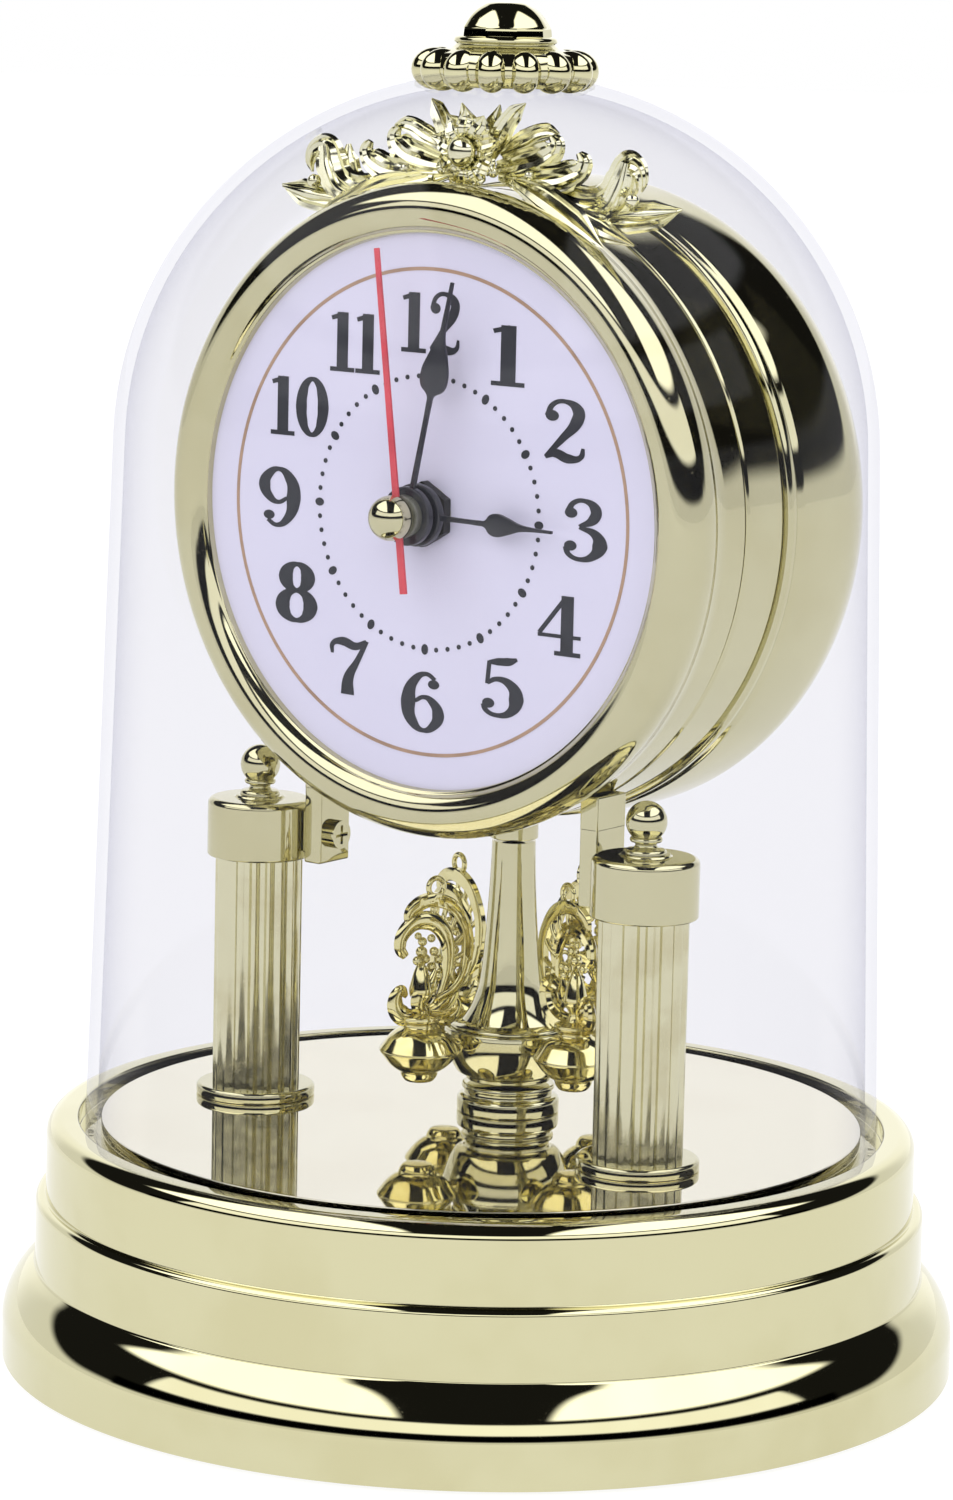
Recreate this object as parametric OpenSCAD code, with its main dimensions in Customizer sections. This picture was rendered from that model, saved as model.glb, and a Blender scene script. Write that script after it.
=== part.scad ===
// Miniature anniversary clock: a three-tier round base, two fluted columns that carry a drum
// case, a torsion-style rotating pendulum with four scroll ornaments, and a lift-off clear dome.
// +Z is up, the dial faces -Y, and the origin is the centre of the base's resting face.

/* [Base] */
// Outer radius of the lowest tier
base_r = 49.9; // [49.4:0.1:50.4]
// Height of the base's top rim
base_h = 25.6; // [25.4:0.1:26]
// Radius of the polished plate that the columns stand on
plate_r = 39.75; // [39.3:0.05:39.8]

/* [Dome] */
// Outer radius of the dome at its foot
dome_foot_r = 41.45; // [41.2:0.05:41.7]
// Outer radius of the dome where its straight wall ends
dome_shoulder_r = 38.2; // [38:0.1:38.8]
// Height at which the dome's straight wall ends
dome_shoulder_z = 96.9; // [96:0.1:98]
// Height of the dome's rounded crown
dome_crown_h = 37.3; // [37:0.1:38]
// Wall thickness of the dome
dome_wall = 1.3; // [1:0.1:1.4]

/* [Columns] */
// Half the distance between the two columns
column_x = 24.8; // [24.4:0.1:25.2]
// Radius of a column shaft
column_r = 4.6; // [4.2:0.1:4.8]
// Number of flutes round a column shaft
column_flutes = 18; // [12:1:20]
// Height of the top of a column shaft
column_top_z = 51.3; // [50.8:0.1:51.6]

/* [Case] */
// Height of the dial's centre
case_z = 90.15; // [90:0.05:90.4]
// Radius of the case band
case_r = 32.5; // [32.3:0.1:32.6]
// Radius of the dial that shows inside the bezel
dial_r = 28.2; // [27.8:0.1:28.4]

/* [Hands] */
// Length of the hour hand from its arbor
hour_len = 16.8; // [15:0.1:17.5]
// Length of the minute hand from its arbor
minute_len = 24.2; // [22:0.1:25]
// Length of the second hand from its arbor
second_len = 26.9; // [24:0.1:27]
// Where the hour hand stands at rest, clockwise from twelve
hour_angle = 91; // [0:1:359]
// Where the minute hand stands at rest, clockwise from twelve
minute_angle = 12; // [0:1:359]
// Where the second hand stands at rest, clockwise from twelve
second_angle = 353; // [0:1:359]

/* [Pendulum] */
// Distance of each ornament's bulb from the pendulum's axis
ornament_r = 11.5; // [11:0.1:12]
// Angle at which the first ornament stands at rest
ornament_angle = -17; // [-40:1:40]

/* [Hidden] */

$fn = 64;
fit = 0.07;        // radial clearance of an arbor in its bore
slack = 0.02;      // radial clearance of a pressed joint
through = 1;       // how far a cutter runs past the faces that it opens

gold = "#d9c98a";
black = "#16130f";
steel = "#b9bcc0";
copper = "#b06a3a";
plastic = "#e9e7df";

// Base tiers
skirt_z = 0.4;               // the shell's lower edge stands clear of the pads' soles
tier1_top = 4.4;
shoulder_r = 6.7;            // radius of the lowest tier's rounded shoulder
shoulder_turn = 58;          // angle through which that shoulder turns
tier2_r = base_r - 3.4;
tier2_foot = 10.2;
tier2_top = 17.5;
tier3_r = base_r - 4.5;
base_wall = 2;
rim_round = 2.4;
deck_z = 24.3;               // underside of the polished plate
deck_t = 2.7;
groove_r = 42.1;             // outer wall of the groove that holds the dome
groove_z = 23.6;
plate_z = 25.5;              // top of the polished plate
column_y = -7;
column_bore = 1.5;

// Bottom cover, battery bay and switch
cover_z = 2.4;
cover_t = 1.6;
cover_r = base_r - base_wall - 0.2;
cover_screw_at = [[36.4, 21], [-36.4, 21], [14.4, -39.5], [-14.4, -39.5]];
cover_post_r = 3;
cell_r = 7.1;
cell_len = 50.5;
bay_y = -18;
bay_half_x = 27;
bay_half_y = 8;
bay_wall = 1.2;
cell_z = 11.6;
door_t = 1.1;
door_gap = 0.1;
door_half_x = 29;
door_half_y = 9;
rail_lip = 0.8;
rail_w = 1.8;
rail_half_x = 38;
switch_at = [24, 20];
switch_travel = 4;
board_z = 18.6;
board_t = 1.2;
board_post_at = [[13, 11], [29, 11]];

// Case shells, all turned about an axis along Y through the dial's centre
bezel_front_y = -13.8;
bezel_mid_r = 30.3;          // radius at which the bezel stands furthest forwards
bezel_mid_y = -10.4;
dial_y = -11.5;
dial_t = 1;
seam_front_y = -2.1;
seam_back_y = 4.9;
back_y = 24.6;
case_wall = 1.5;
back_r = case_r + 1;
movement_r = 28;
flange_y = 0;

// Straps between the column caps and the case
strap_x0 = 16.6;
strap_x1 = 18.8;
strap_y0 = -7;
strap_y1 = -2;
strap_screw_y = -4.5;
strap_screw_z = 54.2;
cap_r = 5.5;
cap_top = 57.5;

// Pendulum
pendulum_y = 4.7;
hub_z = 28.9;
hub_top = 34.6;
stem_r = 2.3;
spigot_r = 0.6;              // each ornament is pressed into the hub by a spigot
spigot_z = 33.2;
spigot_x = 5.2;
hub_r = 6.9;
stem_top = 54.4;
pin_r = 1;

// Movement: heights along Y of each wheel's front and back face
plate_front = [-10.5, -9.3];
plate_back = [4, 5];
hour_wheel_y = [-9, -8];
minute_pinion_y = [-9.1, -7.9];
minute_wheel_y = [-7.4, -6.4];
cannon_y = [-7.5, -6.3];
centre_wheel_y = [-5.6, -4.9];
third_pinion_y = [-5.9, -4.6];
third_wheel_y = [-3.8, -3.1];
second_pinion_y = [-4.1, -2.8];
fourth_wheel_y = [-2.2, -1.6];
inter_pinion_y = [-2.5, -1.3];
inter_wheel_y = [-0.8, -0.2];
rotor_pinion_y = [-1.1, 0.1];
magnet_y = [0.5, 2.3];
stator_y = [0.9, 1.9];
bridge_y = [-3.6, -2.9];

// Tooth counts: 60 to 1 from second to minute hand, 12 to 1 from minute to hour hand
second_pinion_n = 8;
third_wheel_n = 60;
third_pinion_n = 8;
centre_wheel_n = 64;
cannon_n = 10;
minute_wheel_n = 30;
minute_pinion_n = 8;
hour_wheel_n = 32;
fourth_wheel_n = 40;
inter_pinion_n = 8;
inter_wheel_n = 48;
rotor_pinion_n = 8;

// Arbor positions in the plane of the dial, from the hands' arbor
third_at = [-10, 0];
minute_at = [0, 11];
inter_at = [6, 0];
inter_to_rotor = 6;
rotor_angle = -60;
rotor_at = inter_at + inter_to_rotor * [cos(rotor_angle), sin(rotor_angle)];

// Arbor and pipe radii
second_r = 0.58;
pivot_r = 0.4;
cannon_bore = second_r + fit;
cannon_r = 1.22;
hour_bore = cannon_r + fit;
hour_r = 2;
bush_bore = hour_r + fit;
bush_r = 2.9;
bush_front_y = -13;          // clear of the hour hand
minute_arbor_r = 0.7;

// Hands, from the dial forwards
hour_hand_y = [-13.6, -13.2];
minute_hand_y = [-15.1, -14.7];
second_hand_y = [-16.7, -16.3];
second_cap_y = -17.7;
second_cap_r = 2.25;

// ---- helpers ----------------------------------------------------------------------------

// Points of an arc, angles in degrees
function arc(cx, cy, r, a0, a1, n) =
    [for (i = [0:n]) let (a = a0 + (a1 - a0) * i / n) [cx + r * cos(a), cy + r * sin(a)]];

// Points of an ellipse's arc
function oval(cx, cy, rx, ry, a0, a1, n) =
    [for (i = [0:n]) let (a = a0 + (a1 - a0) * i / n) [cx + rx * cos(a), cy + ry * sin(a)]];

// A flat shape in X and Z, given thickness along Y from y[0] to y[1], about the dial's centre
module along_y(y) {
    translate([0, y[1], case_z]) rotate([90, 0, 0]) linear_extrude(y[1] - y[0]) children();
}

// A profile of [radius, y] points turned about the dial's axis
module turned_case(points) {
    translate([0, 0, case_z]) rotate([-90, 0, 0]) rotate_extrude($fn = 128) polygon(points);
}

// A rod along Y at a place in the dial's plane
module rod_y(at, r, y) {
    along_y(y) translate(at) circle(r);
}

module left_and_right() {
    children();
    mirror([1, 0, 0]) children();
}

// ---- gears ------------------------------------------------------------------------------

pressure = 20;
addendum = 0.7;
dedendum = 1;
backlash = 0.16;     // share of the module by which each tooth is thinned
flank_points = 3;

function involute(a) = tan(a) * 180 / PI - a;

// Half the angle that a tooth spans at radius r
function tooth_half(n, m, r) =
    let (rp = n * m / 2, rb = rp * cos(pressure))
    90 / n - backlash * m / 2 / rp * 180 / PI + involute(pressure) - involute(acos(min(1, rb / r)));

function tooth_radii(n, m) =
    let (rp = n * m / 2, rb = rp * cos(pressure), root = rp - dedendum * m, tip = rp + addendum * m,
         start = max(rb, root))
    concat(root < rb ? [root] : [],
           [for (i = [0:flank_points]) start + (tip - start) * i / flank_points]);

function polar(r, a) = [r * cos(a), r * sin(a)];

function gear_points(n, m) =
    let (radii = tooth_radii(n, m), last = len(radii) - 1, rb = n * m / 2 * cos(pressure))
    [for (k = [0:n - 1]) let (c = 360 * k / n)
        each concat(
            [for (r = radii) polar(r, c - tooth_half(n, m, max(r, rb)))],
            [for (i = [last:-1:0]) polar(radii[i], c + tooth_half(n, m, max(radii[i], rb)))])];

// A gear centred at a place, with a tooth centre at the angle phase
module gear(at, n, m, phase, y) {
    along_y(y) translate(at) rotate(phase) polygon(gear_points(n, m));
}

function module_of(a, b, n1, n2) = 2 * norm(b - a) / (n1 + n2);
function bearing(a, b) = atan2(b[1] - a[1], b[0] - a[0]);
function gap_phase(a, b, n) = bearing(a, b) + 180 / n;

centre = [0, 0];
motion_m = module_of(centre, minute_at, cannon_n, minute_wheel_n);
hour_m = module_of(centre, minute_at, hour_wheel_n, minute_pinion_n);
centre_m = module_of(centre, third_at, centre_wheel_n, third_pinion_n);
third_m = module_of(centre, third_at, third_wheel_n, second_pinion_n);
fourth_m = module_of(centre, inter_at, fourth_wheel_n, inter_pinion_n);
rotor_m = module_of(inter_at, rotor_at, inter_wheel_n, rotor_pinion_n);

// ---- base -------------------------------------------------------------------------------

// Outline of the tiers, from the skirt up and in to the groove
function base_outline() = concat(
    [[base_r, skirt_z]],
    arc(base_r - shoulder_r, tier1_top, shoulder_r, 0, shoulder_turn, 10),
    [[tier2_r, tier2_foot]],
    arc(tier2_r - 0.6, tier2_top - 0.6, 0.6, 0, 90, 4),
    [[tier3_r, tier2_top]],
    arc(tier3_r - rim_round, base_h - rim_round, rim_round, 0, 90, 8),
    [[groove_r + 0.3, base_h], [groove_r, base_h - 0.3], [groove_r, groove_z],
     [plate_r + 0.05, groove_z], [plate_r + 0.05, deck_z], [0, deck_z]]);

module base_shell() {
    inner_deck = deck_z - deck_t;
    color(gold) difference() {
        union() {
            difference() {
                rotate_extrude($fn = 128) polygon(concat(base_outline(), [[0, skirt_z]]));
                rotate_extrude($fn = 128) polygon([
                    [0, skirt_z - through], [base_r - base_wall, skirt_z - through],
                    [base_r - base_wall, tier1_top], [tier2_r - base_wall, tier2_foot],
                    [tier2_r - base_wall, tier2_top - 1.4], [tier3_r - base_wall, tier2_top],
                    [tier3_r - base_wall, inner_deck], [0, inner_deck]]);
            }
            for (p = cover_screw_at)
                translate([p[0], p[1], cover_z + cover_t])
                    cylinder(r = cover_post_r, h = inner_deck - cover_z - cover_t + 0.5);
            for (p = board_post_at)
                translate([p[0], p[1], board_z + board_t])
                    cylinder(r = 1.5, h = inner_deck - board_z - board_t + 0.5);
        }
        for (p = cover_screw_at)
            translate([p[0], p[1], cover_z]) cylinder(r = 1.1, h = 9);
        left_and_right()
            translate([column_x, column_y, inner_deck - through]) cylinder(r = column_bore, h = 9);
        translate([0, pendulum_y, inner_deck - through]) cylinder(r = 2.6, h = 9);
    }
}

module base_cover() {
    top = cover_z + cover_t;
    color(black) difference() {
        union() {
            translate([0, 0, cover_z]) cylinder(r = cover_r, h = cover_t, $fn = 128);
            translate([-bay_half_x - bay_wall, bay_y - bay_half_y - bay_wall, top - 0.5])
                cube([2 * (bay_half_x + bay_wall), 2 * (bay_half_y + bay_wall), 12]);
            for (side = [-1, 1])
                translate([-rail_half_x, bay_y + side * (door_half_y + 0.2 + rail_w / 2) - rail_w / 2,
                           rail_lip])
                    cube([2 * rail_half_x - 4, rail_w, cover_z - rail_lip + 0.5]);
            for (side = [-1, 1])
                translate([-rail_half_x, bay_y + side * (door_half_y - 0.3) - 0.6, rail_lip])
                    cube([2 * rail_half_x - 4, 1.2, 0.3]);
        }
        translate([-bay_half_x, bay_y - bay_half_y, cover_z - through])
            cube([2 * bay_half_x, 2 * bay_half_y, 16]);
        for (p = cover_screw_at) {
            translate([p[0], p[1], cover_z - through]) cylinder(r = 1.4, h = 4);
        }
        translate([switch_at[0] - 1.7, switch_at[1] - 1.7, cover_z - through])
            cube([3.4 + switch_travel, 3.4, 4]);
    }
}

module cover_screws() {
    color(steel) for (p = cover_screw_at)
        translate([p[0], p[1], 0]) difference() {
            union() {
                translate([0, 0, 1.1]) cylinder(r = 2.3, h = cover_z - 1.1);
                translate([0, 0, 1.6]) cylinder(r = 1.05, h = 8.4);
            }
            translate([-1.4, -0.3, 0.6]) cube([2.8, 0.6, 0.9]);
            translate([-0.3, -1.4, 0.6]) cube([0.6, 2.8, 0.9]);
        }
}

module foot_pads() {
    color(black) for (a = [0:90:270])
        rotate(a) translate([42.5, 0, 0]) rotate_extrude() polygon(concat(
            [[0, 0]], arc(3.6, 0.4, 0.4, -90, 0, 3), [[4, cover_z], [0, cover_z]]));
}

module mirror_plate() {
    color("#e4dcc0") difference() {
        translate([0, 0, deck_z]) cylinder(r = plate_r, h = plate_z - deck_z, $fn = 128);
        left_and_right()
            translate([column_x, column_y, deck_z - through]) cylinder(r = column_bore, h = 4);
        translate([0, pendulum_y, deck_z - through]) cylinder(r = 2.6, h = 4);
    }
}

// ---- columns ----------------------------------------------------------------------------

ring_t = 1.2;
flute_r = 0.62;

module column() {
    z0 = plate_z + ring_t;
    color(gold) difference() {
        translate([column_x, column_y, z0]) cylinder(r = column_r, h = column_top_z - z0);
        for (i = [0:column_flutes - 1])
            translate([column_x, column_y, z0 + 0.8]) rotate(360 * i / column_flutes)
                translate([column_r + 0.15, 0, 0])
                    cylinder(r = flute_r, h = column_top_z - z0 - 1.6, $fn = 24);
        translate([column_x, column_y, z0 - through]) cylinder(r = column_bore, h = 30);
    }
}

module column_ring() {
    color(gold) difference() {
        translate([column_x, column_y, plate_z]) rotate_extrude() polygon(concat(
            [[column_bore, 0], [6.3, 0]], arc(5.9, 0.8, 0.4, 0, 90, 4), [[column_bore, ring_t]]));
        translate([column_x, column_y, plate_z - through]) cylinder(r = column_bore, h = 4);
    }
}

// Cap with its web that reaches in to the strap
module cap() {
    h = cap_top - column_top_z;
    color(gold) difference() {
        union() {
            translate([column_x, column_y, column_top_z]) rotate_extrude() polygon(concat(
                [[0, 0], [cap_r - 0.5, 0]], arc(cap_r - 0.5, 0.5, 0.5, -90, 0, 3),
                arc(cap_r - 0.5, h - 0.5, 0.5, 0, 90, 3), [[2.4, h], [0, h]]));
            translate([strap_x1, strap_screw_y - 1.6, 52]) cube([3, 3.2, 4.6]);
        }
        translate([column_x, column_y, column_top_z - through]) cylinder(r = column_bore, h = 4.6);
        translate([strap_x1 - through, strap_screw_y, strap_screw_z]) rotate([0, 90, 0])
            cylinder(r = 0.82, h = 3.6);
        translate([column_x, column_y, cap_top - 1.6]) cylinder(r = 0.9, h = 4);
    }
}

module cap_ball() {
    translate([column_x, column_y, 0]) color(gold) union() {
        translate([0, 0, cap_top]) rotate_extrude() polygon(concat(
            [[0, 0], [2.1, 0], [2.1, 0.5], [1.3, 0.9], [1.2, 1.2], [1.6, 1.5], [1.6, 1.8]],
            arc(0, 3.5, 2.1, -48, 90, 12)));
        translate([0, 0, cap_top - 1.5]) cylinder(r = 0.88, h = 1.6);
    }
}

module strap() {
    color(gold) difference() {
        translate([strap_x0, strap_y0, 51.2])
            cube([strap_x1 - strap_x0, strap_y1 - strap_y0, 16]);
        translate([0, 0, case_z]) rotate([90, 0, 0])
            cylinder(r = case_r + 0.32, h = 40, center = true, $fn = 128);
        translate([strap_x0 - through, strap_screw_y, strap_screw_z]) rotate([0, 90, 0])
            cylinder(r = 0.9, h = 5);
    }
}

module strap_screws() {
    color(steel) left_and_right() translate([0, strap_screw_y, strap_screw_z]) rotate([0, 90, 0])
        difference() {
            union() {
                translate([0, 0, strap_x0 - 0.9]) cylinder(r = 1.5, h = 0.9);
                translate([0, 0, strap_x0 - 0.1]) cylinder(r = 0.8, h = 4.3);
            }
            translate([-1, -0.2, strap_x0 - 1.2]) cube([2, 0.4, 0.8]);
            translate([-0.2, -1, strap_x0 - 1.2]) cube([0.4, 2, 0.8]);
        }
}

module tie_rods() {
    nut_z = deck_z - deck_t - 2.4;
    color(steel) left_and_right() translate([column_x, column_y, 0]) {
        translate([0, 0, nut_z - 1]) cylinder(r = column_bore - 0.1, h = column_top_z + 3 - nut_z);
        translate([0, 0, nut_z]) cylinder(r = 2.9, h = 2.4, $fn = 6);
    }
}

// ---- pendulum drive in the base ---------------------------------------------------------

module pendulum_socket() {
    color(gold) translate([0, pendulum_y, 0]) difference() {
        union() {
            translate([0, 0, plate_z]) rotate_extrude() polygon(concat(
                [[0, 0], [5.4, 0]], arc(5, 1.4, 0.4, 0, 90, 3),
                [[4.7, 1.8], [4.7, 2.8], [4.4, 3.1], [0, 3.1]]));
            translate([0, 0, deck_z - 1.6]) cylinder(r = 2.5, h = 3);
        }
        translate([0, 0, 24]) cylinder(r = pin_r + fit, h = 8);
    }
}

module cell(at, h) {
    translate([-cell_len / 2, at, h]) rotate([0, 90, 0]) union() {
        cylinder(r = cell_r, h = cell_len - 1.2);
        cylinder(r = 2.6, h = cell_len);
    }
}

module pendulum_cell() {
    color("#2f5f4a") cell(bay_y, cell_z);
}

// Spring leaf at the cell's minus end and plate at its plus end
module contact_pair(at, h, reach) {
    left_and_right() {
        translate([reach - 0.4, at - 4.5, h - 5]) cube([0.4, 9, 9]);
        translate([cell_len / 2 + 0.05, at, h]) rotate([0, 90, 0])
            cylinder(r = 1.6, h = reach - cell_len / 2 - 0.25);
    }
}

module cell_contacts() {
    color(steel) contact_pair(bay_y, cell_z, bay_half_x - 0.1);
}

module drive_coil() {
    top = deck_z - deck_t - 0.2;
    color(copper) translate([0, pendulum_y, 0]) difference() {
        union() {
            translate([0, 0, top - 1]) cylinder(r = 7.4, h = 1);
            translate([0, 0, top - 7.4]) cylinder(r = 6.6, h = 7);
            translate([0, 0, top - 8.2]) cylinder(r = 7.4, h = 1);
        }
        translate([0, 0, top - 12]) cylinder(r = 2.7, h = 16);
    }
}

module drive_board() {
    color("#2e6b3a") translate([10, -4, board_z]) cube([22, 18, board_t]);
    color(black) translate([16, 2, board_z - 1.2]) cube([6, 5, 1.3]);
}

module switch_slider() {
    color(plastic) translate([switch_at[0], switch_at[1], 0]) {
        translate([-1.4, -1.4, 1.5]) cube([2.8, 2.8, 3]);
        translate([-5, -3, cover_z + cover_t + 0.1]) cube([10, 6, 1.4]);
    }
}

module battery_door() {
    z0 = cover_z - door_gap - door_t;
    color(black) {
        translate([-door_half_x, bay_y - door_half_y, z0]) cube([2 * door_half_x, 2 * door_half_y, door_t]);
        for (i = [0:5])
            translate([door_half_x - 5 - 1.6 * i, bay_y - 5, z0 - 0.5]) cube([0.8, 10, 0.6]);
    }
}

// ---- case -------------------------------------------------------------------------------

module bezel() {
    inner = case_r - case_wall;
    color(gold) turned_case(concat(
        [[inner, seam_front_y], [case_r, seam_front_y], [case_r, bezel_mid_y + 2.8]],
        oval(bezel_mid_r, bezel_mid_y, case_r + 0.8 - bezel_mid_r, bezel_mid_y - bezel_front_y,
             35, -125, 20),
        [[dial_r + 0.2, dial_y - 0.9], [dial_r, dial_y - 0.7], [dial_r, dial_y],
         [dial_r + 1.3, dial_y], [dial_r + 1.3, dial_y + dial_t], [inner, dial_y + dial_t]]));
}

module case_band() {
    inner = case_r - case_wall;
    color(gold) turned_case([
        [inner, seam_front_y + 0.05], [case_r - 0.1, seam_front_y + 0.05], [case_r, seam_front_y + 0.2],
        [case_r, seam_back_y - 0.3], [case_r - 0.3, seam_back_y], [inner, seam_back_y],
        [inner, flange_y + 1.2], [movement_r + 0.2, flange_y + 1.2], [movement_r + 0.2, flange_y],
        [inner, flange_y]]);
}

module case_back() {
    round = 9;
    flat_r = back_r - round - 2.4;
    color(gold) turned_case(concat(
        [[case_r - case_wall, seam_back_y], [case_r + 0.2, seam_back_y], [case_r + 0.5, seam_back_y + 0.3],
         [case_r + 0.5, seam_back_y + 1.2], [case_r + 0.2, seam_back_y + 1.5],
         [back_r - 0.3, seam_back_y + 3.5]],
        oval(flat_r, back_y - round * 1.45, back_r - flat_r, round * 1.45, 4, 90, 12),
        [[0, back_y], [0, back_y - case_wall]],
        oval(flat_r, back_y - round * 1.45, back_r - flat_r - case_wall, round * 1.45 - case_wall,
             90, 2, 12),
        [[case_r - case_wall, seam_back_y + 4]]));
}

// A leaf outline that starts at the origin and runs along +X
function leaf(length, width) = concat(
    [for (i = [0:10]) let (t = i / 10) [length * t, width / 2 * sin(180 * pow(t, 0.7))]],
    [for (i = [9:-1:1]) let (t = i / 10) [length * t, -width / 2 * sin(180 * pow(t, 0.7))]]);

// The crest stands on the rim behind the bezel; tips are measured from the dial's centre
crest_y = [-6.2, -2.2];
crest_foot_r = case_r + 0.02;
crest_band_r = 35.2;
boss_y = -7.5;
boss_r = 1.5;
flower_z = 36.2;

// A leaf from its foot to its tip, both in the plane of the dial
module crest_leaf(from, tip, width) {
    run = tip - from;
    along_y(crest_y) translate(from) rotate(atan2(run.y, run.x)) polygon(leaf(norm(run), width));
}

module crest() {
    reach = 50;
    color(gold) difference() {
        union() {
            along_y(crest_y) intersection() {
                circle(crest_band_r, $fn = 128);
                polygon([centre, polar(reach, 52), polar(reach, 128)]);
            }
            for (a = [-60:40:240])
                crest_leaf([0, flower_z], [0, flower_z] + polar(4.2, a), 2.6);
            left_and_right() {
                crest_leaf([1.5, 34.6], [5.9, 41.2], 3.2);
                crest_leaf([3, 34.4], [10.2, 38.4], 3.6);
                crest_leaf([7, 33.6], [13.5, 36.8], 3.4);
                crest_leaf([14.5, 30.8], [18.8, 36.6], 3.8);
                crest_leaf([15.8, 30.8], [20.8, 34.8], 3.2);
                crest_leaf([14, 30.6], [25.2, 31.6], 3);
            }
            rod_y([0, flower_z], boss_r, [boss_y, crest_y[1]]);
        }
        along_y([crest_y[0] - 2, crest_y[1] + 2]) circle(crest_foot_r, $fn = 128);
    }
}

module dial() {
    color("#efedf6") along_y([dial_y, dial_y + dial_t]) difference() {
        circle(dial_r + 1.2, $fn = 128);
        circle(bush_r + 0.05);
    }
}

// ---- movement ---------------------------------------------------------------------------

module movement_outline(inset) {
    intersection() {
        circle(movement_r - inset, $fn = 128);
        translate([-25 + inset, -20 + inset]) square([50 - 2 * inset, 42 - 2 * inset]);
    }
}

module movement_front() {
    wall = 1.2;
    bearings = [[third_at, pivot_r], [minute_at, pivot_r]];
    color(plastic) difference() {
        union() {
            difference() {
                along_y([plate_front[0], plate_back[0]]) movement_outline(0);
                along_y([plate_front[1], plate_back[0] + through]) movement_outline(wall);
            }
            rod_y(centre, bush_r, [bush_front_y, plate_front[1]]);
            for (p = [[14, -7], [17, 3]])
                rod_y(p, 1.2, [plate_front[1] - 0.2, bridge_y[0]]);
        }
        rod_y(centre, bush_bore, [dial_y - 4, plate_front[1] + through]);
        for (b = bearings)
            rod_y(b[0], b[1] + fit, [plate_front[0] + 0.3, plate_front[1] + 0.1]);
    }
}

module train_bridge() {
    color(plastic) difference() {
        along_y(bridge_y) difference() {
            translate([3.6, -10]) square([16, 15]);
            translate([3.6, 5]) rotate(-58) square([3, 6]);
        }
        rod_y(inter_at, pivot_r + fit, [-5, 0]);
        rod_y(rotor_at, pivot_r + fit, [-5, 0]);
    }
}

module movement_back() {
    bores = [[centre, pivot_r], [third_at, pivot_r], [inter_at, pivot_r], [rotor_at, pivot_r],
             [minute_at, minute_arbor_r]];
    color(plastic) difference() {
        union() {
            along_y(plate_back) movement_outline(0);
            along_y(plate_back) translate([-27, -13]) square([54, 10]);
            left_and_right()
                translate([26, plate_back[1] - 0.4, case_z - 13]) cube([1, 12, 10]);
            for (x = [-16, 16])
                translate([x - 1, plate_back[1] - 0.4, case_z - 16]) cube([2, 9, 16]);
            for (p = [[-1, -8], [16, -8]]) rod_y(p, 1, [stator_y[1], plate_back[0] + 0.1]);
            for (p = [[-16, -16.5], [-8, -11.5]]) rod_y(p, 0.8, [3.4, plate_back[0] + 0.1]);
        }
        for (b = bores) rod_y(b[0], b[1] + fit, [3, 7]);
        translate([0, plate_back[1] + 0.1 + cell_r, case_z - 8]) rotate([0, 90, 0])
            cylinder(r = cell_r + 0.1, h = 2 * 25.9, center = true);
    }
}

module movement_cell() {
    color("#2f5f4a") cell(plate_back[1] + 0.1 + cell_r, case_z - 8);
}

module movement_contacts() {
    color(steel) contact_pair(plate_back[1] + 0.1 + cell_r, case_z - 8, 25.9);
}

module movement_board() {
    color("#2e6b3a") along_y([2.6, 3.4]) translate([-18, -18]) square([12, 8]);
    color(black) along_y([1.7, 2.7]) translate([-12, -14]) circle(2);
}

module centre_nut() {
    color(gold) difference() {
        along_y([dial_y - 1.2, dial_y]) circle(4, $fn = 6);
        rod_y(centre, bush_r + slack, [dial_y - 3, dial_y + 1]);
    }
}

coil_z = -14.5;

module stator() {
    color(steel) along_y(stator_y) difference() {
        union() {
            translate([-2.5, rotor_at[1] - 3]) square([20, 6]);
            translate([-2.5, coil_z - 1]) square([20, 2]);
            translate([-2.5, coil_z - 1]) square([3, 10]);
            translate([14.5, coil_z - 1]) square([3, 10]);
        }
        translate(rotor_at) circle(2.5);
    }
}

module motor_coil() {
    color(copper) translate([1.2, (stator_y[0] + stator_y[1]) / 2, case_z + coil_z]) difference() {
        rotate([0, 90, 0]) cylinder(r = 2.3, h = 12.6);
        translate([-1, -0.55, -1.05]) cube([15, 1.1, 2.1]);
    }
}

module hour_wheel() {
    color(plastic) difference() {
        union() {
            gear(centre, hour_wheel_n, hour_m, gap_phase(centre, minute_at, hour_wheel_n), hour_wheel_y);
            rod_y(centre, hour_r, [hour_hand_y[0], hour_wheel_y[1]]);
        }
        rod_y(centre, hour_bore, [-20, 0]);
    }
}

module centre_wheel() {
    color(plastic) difference() {
        union() {
            gear(centre, centre_wheel_n, centre_m,
                 gap_phase(centre, third_at, centre_wheel_n), centre_wheel_y);
            gear(centre, cannon_n, motion_m, bearing(centre, minute_at), cannon_y);
            rod_y(centre, cannon_r, [minute_hand_y[0], centre_wheel_y[1]]);
        }
        rod_y(centre, cannon_bore, [-20, 0]);
    }
}

module second_arbor() {
    color(steel) union() {
        rod_y(centre, second_r, [second_hand_y[0], fourth_wheel_y[1]]);
        rod_y(centre, pivot_r, [fourth_wheel_y[1] - 0.1, plate_back[1] - 0.2]);
        gear(centre, second_pinion_n, third_m, bearing(centre, third_at), second_pinion_y);
        gear(centre, fourth_wheel_n, fourth_m, gap_phase(centre, inter_at, fourth_wheel_n), fourth_wheel_y);
    }
}

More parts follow.
